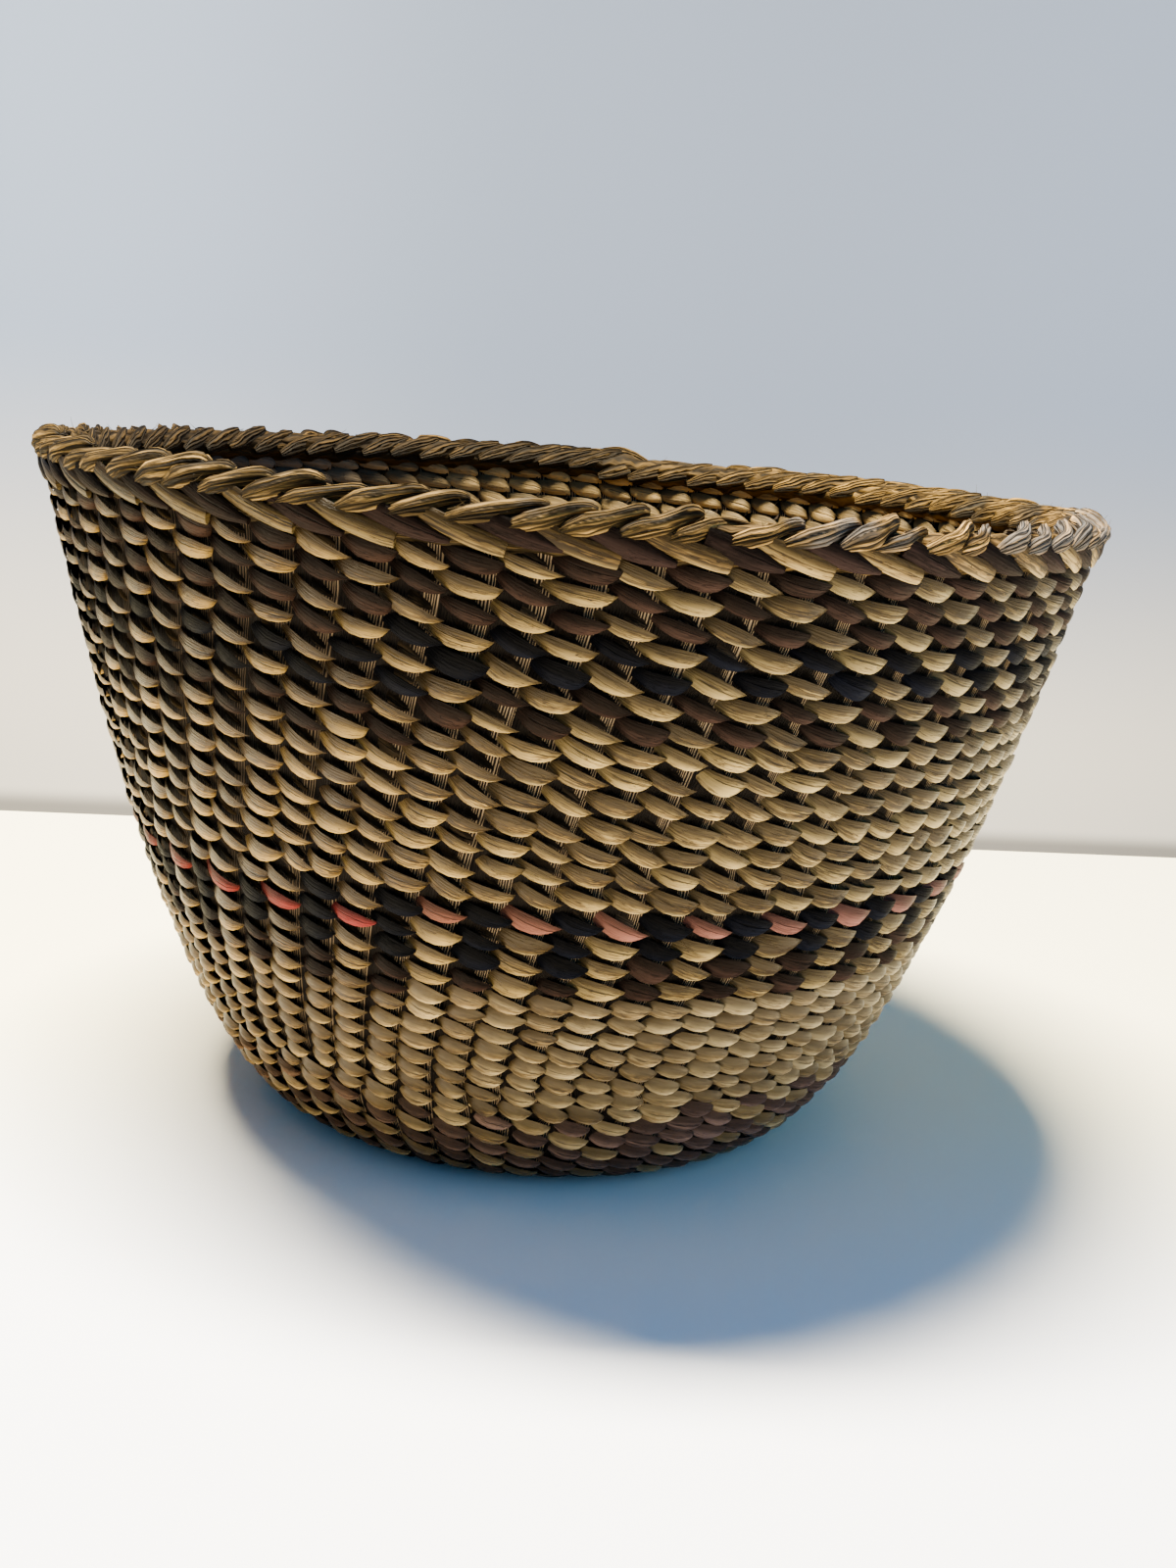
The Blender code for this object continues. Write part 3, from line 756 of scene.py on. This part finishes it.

# Every finish of flat strips: its colour, and the shares or tints of it that make its deep, middle, light and edge
# shades, the edge shade being a painted highlight. Then its roughness, start (share of the painted shade at a strip's
# start left out), ridges, specks, shine, contrast, relief, grooves and sides (tints of painted light and shade).
STRIP_FINISHES = {
    "tan_strip": ("tan", (1, 1, 1, 1), 0.42, 0.25, 7.0, 0.4, 0.16, 1.85, 0.75, 0.0, WALL_SIDE_LIGHT),
    # Painted shade: the upper rows' tan is a darker copy of the tan, as less light reaches them
    "upper_tan_strip": ("tan", (0.7, 0.7, 0.68, 0.68), 0.42, 0.25, 7.0, 0.4, 0.14, 1.85, 0.75, 0.0, WALL_SIDE_LIGHT),
    "low_tan_strip": ("tan", (PALER,) * 4, 0.44, 0.3, 5.0, 0.3, 0.2, 1.1, 0.3, 0.0, WALL_SIDE_LIGHT),
    # The foot's tan and brown strips are lighter copies: painted light against the shade at the foot
    "foot_tan_strip": ("tan", (FOOT_PALER,) * 2 + (PALER,) * 2, 0.44, 0.4, 5.0, 0.3, 0.2, 1.1, 0.3, 0.0, WALL_SIDE_LIGHT),
    "brown_strip": ("brown", (0.4, 1, 2.0, 1.6), 0.55, 0.5, 6.0, 0.2, 0.04, 1.5, 0.75, 0.0, DARK_SIDE_LIGHT),
    "foot_brown_strip": ("brown", FOOT_BROWN_LIFT, 0.6, 0.75, 6.0, 0.3, 0.06, 1.3, 0.75, 0.0, WALL_SIDE_LIGHT),
    "black_strip": ("black", (0.5, 1, 1.8, 1.4), 0.55, 0.5, 7.0, 0.1, 0.025, 1.3, 0.75, 0.0, DARK_SIDE_LIGHT),
    "pink_strip": ("pink", (0.5, 1, 1.3, 1.1), 0.5, 0.5, 9.0, 0.5, 0.06, 1.15, 0.75, 0.0, WALL_SIDE_LIGHT),
    "faded_pink_strip": ("faded_pink", (0.55, 1, 1.3, 1.1), 0.5, 0.3, 9.0, 0.5, 0.08, 1.15, 0.75, 0.0, WALL_SIDE_LIGHT),
    # The back strand's finish: partly its own dark colour, partly painted shade of the hollow
    "back_strand": ("back", (0.15, 1, 6.0, 0.8), 0.8, 0.5, 4.0, 0.3, 0.04, 2.3, 0.75, 0.0, WALL_SIDE_LIGHT),
    "inner_light": ("inner", (0.5, 0.75, 1.0, 0.9), 0.6, 0.75, 6.0, 0.4, 0.22, 1.15, 0.75, 0.0, INNER_SIDE_LIGHT),
    "inner_dark": ("inner", (0.2, 0.5, 0.8, 0.7), 0.6, 0.75, 6.0, 0.3, 0.22, 1.15, 0.75, 0.0, INNER_SIDE_LIGHT),
    "crossed_warp": ("stake", (0.3, 0.5, 1, 1), 0.6, 0.9, 5.0, 0.3, 0.05, 1.3, 0.75, 0.0, INNER_SIDE_LIGHT),
    "rim_tan_leg": ("tan", (0.3, 0.36, 0.27, 0.24), 0.46, 0.7, 4.0, 0.35, 0.1, 1.5, 0.75, 0.25, LEG_SIDE_LIGHT),
    "rim_dark_leg": ("plum", (0.5, 1, 1.9, 1.4), 0.6, 0.8, 7.0, 0.2, 0.03, 1.4, 0.75, 0.0, DARK_LEG_SIDE_LIGHT),
}


def strip_material(colours, name):
    """The finish of this name, from the table and the panel's colours. Tan has a colour of its own for each shade."""
    source, shares, *look = STRIP_FINISHES[name]
    own = [f"tan_{shade}" if source == "tan" else source for shade in ("deep", "middle", "light", "edge")]
    return strip_finish(name, [scaled(getattr(colours, key), share) for key, share in zip(own, shares)], *look)


def tube_values(random, count):
    return {"chance": random.random(count), "tone": random.random(count)}


# Turns up to which the weft is the base's, and from which the pink has faded
BASE_TURNS = 0.2
PINK_FADES_FROM = 16.55
# Shares of the draw under which a light strip of the foot is brown too, and over which a dark one is tan
BROWN_UNDER = 0.22
TAN_OVER = 0.93
# How far along the row the strand behind lies, in spacings, and the turn that parts it in two pieces
BACK_MOVED = -0.11
BACK_PARTED = 16


class BASKET_OT_outer_weft(bpy.types.Operator):
    """Twine the outer strips, band by band, with the strand that shows behind them."""

    bl_idname = "basket.outer_weft"
    bl_label = "Outer weft"

    def execute(self, context):
        colours = context.scene.basket_colours
        outer = [name for name in STRIP_FINISHES if name.endswith(("_strip", "_strand"))]
        finishes = {name: strip_material(colours, name) for name in outer}
        random = np.random.default_rng(31)
        whole = CROSSINGS.sizes()
        shape = front_shape(random, whole)
        values = tube_values(random, CROSSINGS.count)
        points = outer_points(whole, shape)
        draw = random.random(CROSSINGS.count)
        within, light, turn = CROSSINGS.within, CROSSINGS.light, CROSSINGS.turn
        foot = within("foot_brown")
        foot_dark = foot & (~light | (draw < BROWN_UNDER)) & ~(~light & (draw > TAN_OVER))
        foot_light = foot & ~foot_dark
        pink = within("pink") & light
        lower_black = within("lower_black", "pink", "after_pink") & ~light
        groups = [
            ("base_brown", foot_dark & (turn < BASE_TURNS), "brown", ["base_weft", "foot_course"], "brown"),
            ("base_tan", foot_light & (turn < BASE_TURNS), "tan", [], "tan"),
            ("foot_brown", foot_dark & (turn >= BASE_TURNS), "foot_brown", ["foot_brown_weft"], "brown"),
            ("foot_tan", foot_light & (turn >= BASE_TURNS), "foot_tan", [], "tan"),
            ("lower_tan", within("lower_tan"), "low_tan", ["lower_tan_weft"], "tan"),
            ("lower_brown", within("lower_brown") & ~light, "brown", ["lower_brown_weft"], "brown"),
            ("lower_black", lower_black, "black", ["lower_black_weft"], "black"),
            ("pink", pink & (turn < PINK_FADES_FROM), "pink", ["pink_weft"], "pink"),
            ("faded_pink", pink & (turn >= PINK_FADES_FROM), "faded_pink", [], "pink"),
            ("lower_light", within("lower_brown", "lower_black", "after_pink") & light, "tan", [], "tan"),
            ("middle_tan", within("middle_tan"), "tan", ["middle_tan_weft"], "tan"),
            ("middle_brown", within("middle_brown") & ~light, "brown", ["middle_brown_weft"], "brown"),
            ("upper_black", within("upper_black") & ~light, "black", ["upper_black_weft"], "black"),
            ("upper_brown", within("upper_brown") & ~light, "brown", ["upper_brown_weft"], "brown"),
            ("upper_light", within("middle_brown", "upper_black", "upper_brown") & light, "upper_tan", [], "tan"),
        ]
        for name, mask, finish, nodes, slot in groups:
            finish = finishes[f"{finish}_strip"]
            add_tubes(f"{name}_strips", points[mask], finish, picked(values, mask), nodes)
        on_wall = turn > 0
        behind = CROSSINGS.sizes(on_wall)
        back_rise = context.scene.basket_sizes.back_rise
        raised = back_rise * np.interp(behind["turn"], [5, 10, 16], [0.3, 0.45, 1.0])
        back = outer_points(behind, back_shape(random, behind), BACK_MOVED, raised)
        low = behind["turn"] < BACK_PARTED
        for name, mask in (("lower_back_strands", low), ("upper_back_strands", ~low)):
            back_values = picked(picked(values, on_wall), mask)
            add_tubes(name, back[mask], finishes["back_strand"], back_values, [])
        return {"FINISHED"}


# How far along the row the inner strips lie, in spacings
INNER_MOVED = 1.1


class BASKET_OT_inner_weft(bpy.types.Operator):
    """Twine the strips that show inside the bowl and on its floor."""

    bl_idname = "basket.inner_weft"
    bl_label = "Inner weft"

    def execute(self, context):
        colours = context.scene.basket_colours
        pale, dim = (strip_material(colours, name) for name in ("inner_light", "inner_dark"))
        random = np.random.default_rng(47)
        whole = CROSSINGS.sizes()
        shape = inner_shape(random, whole)
        angle, place, out = leaf_strips(whole["azimuth"], whole["distance"], whole["spacing"], shape, -1.0)
        angle = angle - whole["spacing"][:, None, None] * INNER_MOVED
        points = FACE.place(angle, place, -context.scene.basket_sizes.inner_depth - out)
        values = tube_values(random, CROSSINGS.count)
        dark = ~CROSSINGS.within("lower_tan", "middle_tan") & CROSSINGS.light
        floor = CROSSINGS.turn < 0
        groups = [
            ("inner_floor_strips", floor, pale, ["inner_weft_base"]),
            ("inner_light_strips", ~floor & ~dark, pale, ["inner_weft_foot", "inner_weft_lower", "inner_weft_middle"]),
            ("inner_dark_strips", ~floor & dark, dim, ["inner_weft_upper"]),
        ]
        for name, mask, finish, nodes in groups:
            add_tubes(name, points[mask], finish, picked(values, mask), nodes)
        return {"FINISHED"}


# Distances at which the stakes' fibres begin and, short of the rim, end
STAKE_FOOT = 0.0025
STAKE_SHORT = 0.0035


def stake_points(depth, rings=64, across=11):
    """Each stake as a flat bundle: a ridged arc carried up the wall along the stake's own line."""
    starts = np.maximum(STAKES.starts, STAKE_FOOT)[:, None]
    distance = starts + (FACE.length - STAKE_SHORT - starts) * np.linspace(0, 1, rings)
    stake = np.broadcast_to(np.arange(len(starts))[:, None], distance.shape)
    spacing = STAKES.spacings[stake, STAKES.table_place(distance).astype(int)][..., None]
    middle = STAKES.azimuth(stake, distance)[..., None] - 0.5 * spacing
    front = np.linspace(-1, 1, across)
    ridge = 0.00012 * (np.arange(across) % 2) + 0.00025 * (1 - front**2)
    side = np.append(front, (0.5, -0.5))
    lift = np.append(ridge, (-0.0007, -0.0007))
    return FACE.place(middle + side * 0.51 * spacing, distance[..., None], lift - depth)


def crossed_points(count=8, pitch=0.0015, reach=0.0066, height=0.0027, half_strip=0.00024, rings=33, around=8):
    """Flat strips crossed one over one under where the basket was begun, cut off at a circle.

    A strip's height is a cosine of its way, half a wave for each strip that it crosses, turned over from strip to
    strip and from one direction to the other. Its section is an oval.
    """
    place = (np.arange(count) - (count - 1) / 2) * pitch
    way = np.sqrt(reach**2 - place**2)[:, None] * np.linspace(-1, 1, rings)
    crossing = way / pitch + (count - 1) / 2
    wave = half_strip * np.cos(np.pi * (crossing + np.arange(count)[:, None]))[..., None]
    side = np.arange(around) / around * TURN
    ahead = np.broadcast_to(way[..., None], (count, rings, around))
    beside = np.broadcast_to(place[:, None, None] + 0.44 * pitch * np.cos(side), ahead.shape)
    thickness = half_strip * np.sin(side)
    lengthwise = np.stack([ahead, beside, height + (wave + thickness)], -1)
    widthwise = np.stack([beside, ahead, height - wave + thickness], -1)
    return np.concatenate([lengthwise, widthwise])


class BASKET_OT_stakes(bpy.types.Operator):
    """Bundle the fibres of every stake, which show as fine combs between the courses, and cross those of the base."""

    bl_idname = "basket.stakes"
    bl_label = "Stakes"

    def execute(self, context):
        colours = context.scene.basket_colours
        random = np.random.default_rng(5)
        points = stake_points(context.scene.basket_sizes.stake_depth)
        warps = [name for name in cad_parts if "_warp_" in name]
        shares = np.append(np.linspace(0, 1, points.shape[2] - 2), (0.8, 0.8))
        finish = fibre_finish("stake_fibre", colours.stake)
        add_tubes("stakes", points, finish, tube_values(random, len(points)), warps, shares=shares)
        crossed = crossed_points()
        finish = strip_material(colours, "crossed_warp")
        add_tubes("crossed_warps", crossed, finish, tube_values(random, len(crossed)), [])
        return {"FINISHED"}


# The plait: pairs of strips round the rim, the azimuth of a tan one's tip, and the angle from pair to pair
RIM_PAIRS = 39
RIM_LIGHT_TIP = math.radians(-95.2)
PAIR_STEP = TURN / RIM_PAIRS
# Azimuth at the back where the plait ends over its own start, how far above and below itself it lies there, and
# the angles over which that dies away
PLAIT_END = math.radians(81.0)
STEP_UP, UP_FADES = 0.0012, 0.5
STEP_DOWN, DOWN_FADES = 0.0010, 0.4
# Distances along the outer face: the legs' tips, the bundles' feet, the inner legs' tops, the fibres' roots and
# the middle of the core
LEG_TIPS = 0.1893
BUNDLE_FEET = 0.1919
INNER_LEG_TOPS = 0.1945
FIBRE_ROOTS = 0.1949
CORE_MIDDLE = 0.1912
# A leg's length in steps from pair to pair, its height and half its thickness
LEG_LENGTH, LEG_RISE, LEG_HALF_DEPTH = 0.80, 0.0042, 0.00055
# A bundle's climb, how far it then turns inwards, and half its height and depth
BUNDLE_RISE, BUNDLE_INWARDS, BUNDLE_HALF_HEIGHT, BUNDLE_HALF_DEPTH = 0.0032, 0.0040, 0.00155, 0.0012
# How far an inner leg goes down, and half its height
INNER_LEG_FALL, INNER_LEG_HALF_HEIGHT = 0.0048, 0.0020
# Shortest frayed fibre, how much longer the longest is, and half the thickness
FIBRE_LENGTH, FIBRE_LONGER, FIBRE_HALF = 0.0018, 0.0028, 0.00009
# The core's half height, half depth and how strongly it swells at each bundle
CORE_HALF_HEIGHT, CORE_HALF_DEPTH, CORE_SWELL = 0.0035, 0.0025, 0.06
# Widths along a leg in parts of its own, for the cut tan ones and the tapered dark ones
SQUARE_END = np.array([0.9, 1.0, 1.0, 1.0, 1.0, 1.0, 1.0, 0.97, 0.88])
TAPERED_END = np.array([0.9, 1.0, 1.0, 1.0, 0.98, 0.90, 0.74, 0.52, 0.30])


def plait_step(angle):
    """Height of the step where the plait meets its own start, dying away on both sides."""
    past = (angle - PLAIT_END + math.pi) % TURN - math.pi
    above = STEP_UP * np.exp(-abs(past) / UP_FADES)
    below = STEP_DOWN * np.exp(-abs(past) / DOWN_FADES)
    return np.where(past >= 0, above, -below)


def carried_section(line_angle, line_distance, line_out, half_height, half_depth, around=8, ridge=0.0):
    """Tubes with an oval section, carried along lines given by azimuth, distance and outward offset.

    At each ring the oval stands across the line, its height along the wall's surface and its depth through it.
    """
    turn = np.arange(around) / around * TURN
    groove = 1 + ridge * np.cos(np.arange(around) * np.pi)
    radius = FACE.radius(line_distance)
    run_x = np.gradient(line_angle, axis=1) * radius
    run_y = np.gradient(line_distance, axis=1)
    size = np.maximum(np.hypot(run_x, run_y), 1e-9)
    up = np.asarray(half_height)[..., None] * -np.cos(turn) * groove
    out = np.asarray(half_depth)[..., None] * np.sin(turn) * groove
    angle = line_angle[..., None] + up * (-run_y / size)[..., None] / radius[..., None]
    distance = line_distance[..., None] + up * (run_x / size)[..., None]
    return FACE.place(angle, distance, line_out[..., None] + out)


def rim_legs(tips, width, random, outline):
    """Flat strips that slant from the crest down to the right, over the top course, with this outline."""
    count = len(tips)
    u = np.linspace(0, 1, len(outline))
    length = LEG_LENGTH * PAIR_STEP * spread(random, count, 1.0, 0.04)[:, None]
    angle = tips[:, None] - length * (1 - u)
    low = (LEG_TIPS + 0.00025 * random.standard_normal(count))[:, None]
    distance = low + LEG_RISE * (1 - u) ** 1.1 + plait_step(angle)
    out = -0.0002 + 0.0012 * np.sin(np.pi * (0.12 + 0.62 * u))
    return carried_section(angle, distance, out, width[:, None] / 2 * outline, LEG_HALF_DEPTH)


def rim_bundles(tips, random):
    """Fat bundles that climb from the wall up to the right, over the crest and down inside."""
    count = len(tips)
    u = np.linspace(0, 1, 15)
    wobble = np.clip(random.standard_normal(count), -1.8, 1.8)[:, None]
    reach, shift = random.standard_normal((2, count, 1))
    angle = tips[:, None] + PAIR_STEP / 2 * (-1.35 + (1.80 + 0.14 * reach) * u + 0.12 * wobble)
    far = smooth_step(np.sin(tips) * 1.5 + 0.4)[:, None]
    wobble = wobble * (1 - 0.6 * far)
    rise = np.sin(np.pi / 2 * np.clip(u / 0.85, 0, 1)) * (1 - 0.5 * far * smooth_step((u - 0.5) / 0.5))
    distance = BUNDLE_FEET + 0.0002 * shift + (BUNDLE_RISE - 0.0006 * far + 0.00035 * wobble) * rise
    distance = distance + plait_step(tips)[:, None]
    out = 0.0005 - BUNDLE_INWARDS * smooth_step((u - 0.45) / 0.55)
    body = np.clip(u / 0.42 + 0.14, 0, 1) ** 0.8 * np.clip((1.03 - u) / 0.13, 0, 1) ** 0.5
    uneven = 1 + 0.10 * np.sin(9 * u + 3 * shift)
    half_height = (BUNDLE_HALF_HEIGHT + 0.00024 * wobble) * body * uneven * (1 + 0.15 * far)
    half_depth = (BUNDLE_HALF_DEPTH + 0.0001 * wobble) * body * (1 - 0.45 * far)
    return carried_section(angle, distance, out, half_height, half_depth, 16, 0.09)


def rim_inner_legs(tips, random):
    """Strips inside the rim that slant down and tuck under the next."""
    u = np.linspace(0, 1, 9)
    angle = tips[:, None] + PAIR_STEP / 2 * (-0.3 + 1.7 * u)
    wander = 0.0003 * random.standard_normal(len(tips))[:, None]
    distance = INNER_LEG_TOPS - INNER_LEG_FALL * u + wander + plait_step(tips)[:, None]
    out = -0.0031 - 0.0021 * np.sin(np.pi / 2 * u)
    half_height = INNER_LEG_HALF_HEIGHT * np.sin(np.pi * np.clip(u * 0.9 + 0.05, 0, 1)) ** 0.4
    return carried_section(angle, distance, out, half_height, 0.32 * half_height, 10, 0.04)


def frayed_fibres(random, count=130, rings=7):
    """Hair-thin ends that have worked loose on the crest: slanted lines that curl upwards and taper to a point."""
    u = np.linspace(0, 1, rings)
    each = (count, 1)
    start = random.random(each) * TURN
    length = FIBRE_LENGTH + FIBRE_LONGER * random.random(each) ** 2
    slant = random.uniform(-0.2, 0.9, each)
    way = np.sign(random.random(each) - 0.3)
    angle = start + way * length * np.cos(slant) * u / RIM_RADIUS
    rise = length * (np.sin(slant) * u + 0.35 * (u**2 - u))
    distance = FIBRE_ROOTS + random.uniform(-0.0016, 0.0004, each) + rise + plait_step(start)
    out = random.uniform(-0.0022, 0.0010, each) + length * random.uniform(-0.3, 0.5, each) * u**2
    half = FIBRE_HALF * (1 - 0.75 * u)
    return carried_section(angle, distance, out, half, half, 5)


def rim_core(rings=312, around=10):
    """The padding inside the plait: an oval ring with a slight twist of lumps."""
    turn = np.linspace(0, TURN, rings, endpoint=False)[:, None]
    side = np.arange(around) / around * TURN
    lump = 1 + CORE_SWELL * np.sin(RIM_PAIRS * 2 * turn + side)
    distance = CORE_MIDDLE + CORE_HALF_HEIGHT * lump * np.sin(side) + 0.4 * plait_step(turn)
    out = CORE_HALF_DEPTH * lump * np.cos(side) - CORE_HALF_DEPTH
    return FACE.place(np.broadcast_to(turn, distance.shape), distance, out)


class BASKET_OT_rim(bpy.types.Operator):
    """Plait the rim: flat tan and brown legs, fat bundles over the crest, inner legs, the core and frayed fibres."""

    bl_idname = "basket.rim"
    bl_label = "Plaited rim"

    def execute(self, context):
        colours = context.scene.basket_colours
        random = np.random.default_rng(11)
        rim = tuple(colours.rim)
        tan, dark = (strip_material(colours, name) for name in ("rim_tan_leg", "rim_dark_leg"))
        bundle = bundle_finish("rim_bundle", rim, (0.04, 0.55, 2.8), scaled(colours.grey, 0.7))
        inside = bundle_finish("rim_inside", rim, (0.08, 0.5, 1.3), scaled(colours.grey, 0.2))
        core = bundle_finish("rim_core", rim, (0.12, 0.5, 1.2), scaled(rim, 0.6))
        light_tips = RIM_LIGHT_TIP + PAIR_STEP * np.arange(RIM_PAIRS)
        all_tips = RIM_LIGHT_TIP + PAIR_STEP / 2 * np.arange(2 * RIM_PAIRS)

        def plait(name, points, finish, nodes=(), sharp=60.0):
            add_tubes(name, points, finish, tube_values(random, len(points)), nodes, sharp)

        dark_width = spread(random, RIM_PAIRS, 0.0035, 0.0002)
        tan_width = spread(random, RIM_PAIRS, context.scene.basket_sizes.rim_strip_width, 0.0001)
        dark_legs = rim_legs(light_tips + PAIR_STEP / 2, dark_width, random, TAPERED_END)
        plait("rim_dark_legs", dark_legs, dark, ["rim_strand_outer"])
        plait("rim_tan_legs", rim_legs(light_tips, tan_width, random, SQUARE_END), tan)
        plait("rim_bundles", rim_bundles(all_tips - PAIR_STEP / 2, random), bundle, ["rim_strand_top"], 80.0)
        plait("rim_inner_legs", rim_inner_legs(all_tips, random), inside, ["rim_strand_inner"], 80.0)
        add_ring("rim_core", rim_core(), core)
        plait("rim_frayed_fibres", frayed_fibres(random), tan)
        return {"FINISHED"}


# Camera found from the rim's oval, the base's edge and the rows of the wall
CAMERA_PLACE = Vector((0.0, -0.3456, 0.1487))
CAMERA_DOWN = math.radians(13.64)
CAMERA_ASIDE = math.radians(1.27)
CAMERA_ROLL = math.radians(4.86)
CAMERA_LENS = 38.25
CAMERA_SENSOR = 36.0

# The table's back edge, y at x = 0 and its slope, and how far behind it the wall stands
TABLE_BACK = 0.1935
TABLE_SLANT = 0.145
WALL_GAP = 1.5
# Height on the wall that the camera sees just over the table's edge
WALL_FOOT = CAMERA_PLACE.z * -WALL_GAP / (TABLE_BACK - CAMERA_PLACE.y)
# Half width of the table and of the wall, and the wall's lowest and highest
TABLE_HALF = 4
WALL_HALF = 2.2
WALL_LOW, WALL_HIGH = -1.2, 0.85

# The cool light from all round
ROOM_COLOUR = (0.13, 0.42, 1.0, 1.0)
ROOM_STRENGTH = 0.56


def camera_matrix():
    """Looks along +Y, turned aside and down, then rolled."""
    down, aside, roll = CAMERA_DOWN, CAMERA_ASIDE, CAMERA_ROLL
    forward = Vector((math.sin(aside) * math.cos(down), math.cos(aside) * math.cos(down), -math.sin(down)))
    level_up = Vector((math.sin(aside) * math.sin(down), math.cos(aside) * math.sin(down), math.cos(down)))
    level_right = Vector((math.cos(aside), -math.sin(aside), 0))
    right = level_right * math.cos(roll) + level_up * math.sin(roll)
    up = level_up * math.cos(roll) - level_right * math.sin(roll)
    turned = Matrix((right, up, -forward)).transposed().to_4x4()
    return Matrix.Translation(CAMERA_PLACE) @ turned


def table_finish(colour):
    """A pale matt table top, faintly cloudy, with painted warm light that turns it yellower towards its back edge."""
    finish = Finish("table")
    cloud = finish.noise(finish.object_place(), 3.0)
    cloudy = finish.mix(cloud.between(0.3, 0.7), colour, scaled(colour, 0.97))
    # Painted warm light, growing towards the table's back edge
    warm_light_tint = scaled(colour, (0.98, 0.90, 0.60))
    finish.set(Base_Color=finish.mix(finish.coordinate(1).between(-0.12, 0.02), cloudy, warm_light_tint), Roughness=0.75)
    return finish.material


def wall_finish(cool, warm):
    """Pale wall, warm low down and cool higher up, the warm band being painted warm light, with painted shade high up
    in the middle and a painted shadow as a dark line where it meets the table.
    """
    finish = Finish("backdrop")
    height = finish.coordinate(2) - WALL_FOOT
    cloud = finish.noise(finish.object_place(), 0.8)
    # Painted warm light low down, fading to the cool wall colour higher up
    colour = finish.mix((height + cloud * 0.16 - 0.08).between(0.10, 0.60), warm, cool)
    aside = finish.coordinate(0)
    shaded = aside.between(-0.70, -0.05) * (1.0 - aside.between(0.15, 0.90) * 0.5) * height.between(0.1, 0.5)
    colour = finish.mix(shaded * 0.75, colour, scaled(cool, 0.55))
    # Painted shadow: a dark line where the wall meets the table
    colour = finish.mix(1.0 - height.between(0.008, 0.034), colour, scaled(warm, 0.34))
    finish.set(Base_Color=colour, Roughness=0.85)
    return finish.material


def add_sheet(name, points, material):
    mesh = bpy.data.meshes.new(name)
    mesh.from_pydata(points, [], [tuple(range(len(points)))])
    mesh.materials.append(material)
    sheet = bpy.data.objects.new(name, mesh)
    bpy.context.scene.collection.objects.link(sheet)


def add_light(name, place, target, size, power, colour, depth=None):
    """A round lamp aimed at the target, or one of this size by this depth."""
    light = bpy.data.lights.new(name, "AREA")
    light.shape = "RECTANGLE" if depth else "DISK"
    light.size = size
    light.size_y = depth or size
    light.energy = power
    light.color = colour
    lamp = bpy.data.objects.new(name, light)
    aim = Vector((0, 0, -1)).rotation_difference(Vector(target) - Vector(place))
    lamp.matrix_world = Matrix.Translation(Vector(place)) @ aim.to_matrix().to_4x4()
    bpy.context.scene.collection.objects.link(lamp)


class BASKET_OT_stage(bpy.types.Operator):
    """Set the pale table, the wall behind, the soft lights and the camera."""

    bl_idname = "basket.stage"
    bl_label = "Stage"

    def execute(self, context):
        settings = context.scene.basket_stage
        half = TABLE_HALF
        edge = [(x, TABLE_BACK + TABLE_SLANT * x, 0) for x in (half, -half)]
        add_sheet("table_top", [(-half, -half, 0), (half, -half, 0), *edge], table_finish(tuple(settings.floor)))
        left, right = ((x, TABLE_BACK + TABLE_SLANT * x + WALL_GAP) for x in (-WALL_HALF, WALL_HALF))
        wall = [(*left, WALL_LOW), (*right, WALL_LOW), (*right, WALL_HIGH), (*left, WALL_HIGH)]
        add_sheet("wall_behind", wall, wall_finish(tuple(settings.backdrop), tuple(settings.warm_lit_band)))
        add_light("key", (-0.23, 0.03, 1.2), (-0.23, 0.03, 0), 0.58, settings.key, (1.0, 0.95, 0.86), 0.18)
        add_light("window", (1.1, -0.6, 0.6), (0, 0, 0.04), 1.2, settings.window, (0.22, 0.52, 1.0))
        add_light("wall_wash", (0.25, 0.95, 0.4), (0.25, 2.2, -0.1), 3.0, settings.wall, (1.0, 0.99, 0.97))
        world = bpy.data.worlds.new("soft_room")
        world.use_nodes = True
        sky = world.node_tree.nodes["Background"]
        sky.inputs["Color"].default_value = ROOM_COLOUR
        sky.inputs["Strength"].default_value = ROOM_STRENGTH
        context.scene.world = world
        camera = bpy.data.cameras.new("photo_view")
        camera.lens = CAMERA_LENS
        camera.sensor_width = CAMERA_SENSOR
        camera.sensor_fit = "AUTO"
        camera.clip_start = 0.01
        holder = bpy.data.objects.new("photo_view", camera)
        holder.matrix_world = camera_matrix()
        context.scene.collection.objects.link(holder)
        context.scene.camera = holder
        return {"FINISHED"}


class BASKET_PT_panel(bpy.types.Panel):
    """The basket's sizes, colours and lights, and its builders, one button each."""

    bl_idname = "BASKET_PT_panel"
    bl_label = "Twined basket"
    bl_space_type = "VIEW_3D"
    bl_region_type = "UI"
    bl_category = "Basket"

    def draw(self, context):
        for group, kind in SETTINGS.items():
            for name in kind.__annotations__:
                self.layout.prop(getattr(context.scene, group), name)
        for operator in OPERATORS:
            self.layout.operator(operator.bl_idname)


OPERATORS = (BASKET_OT_stakes, BASKET_OT_inner_weft, BASKET_OT_outer_weft, BASKET_OT_rim, BASKET_OT_stage)
SETTINGS = {"basket_sizes": BasketSizes, "basket_colours": BasketColours, "basket_stage": StageSettings}
KINDS = (*SETTINGS.values(), *OPERATORS, BASKET_PT_panel)


def register():
    for kind in KINDS:
        bpy.utils.register_class(kind)
    for name, kind in SETTINGS.items():
        setattr(bpy.types.Scene, name, PointerProperty(type=kind))


def unregister():
    for name in SETTINGS:
        delattr(bpy.types.Scene, name)
    for kind in reversed(KINDS):
        bpy.utils.unregister_class(kind)


def main():
    register()
    bpy.ops.basket.stakes()
    bpy.ops.basket.inner_weft()
    bpy.ops.basket.outer_weft()
    bpy.ops.basket.rim()
    bpy.ops.basket.stage()


if __name__ == "__main__":
    main()
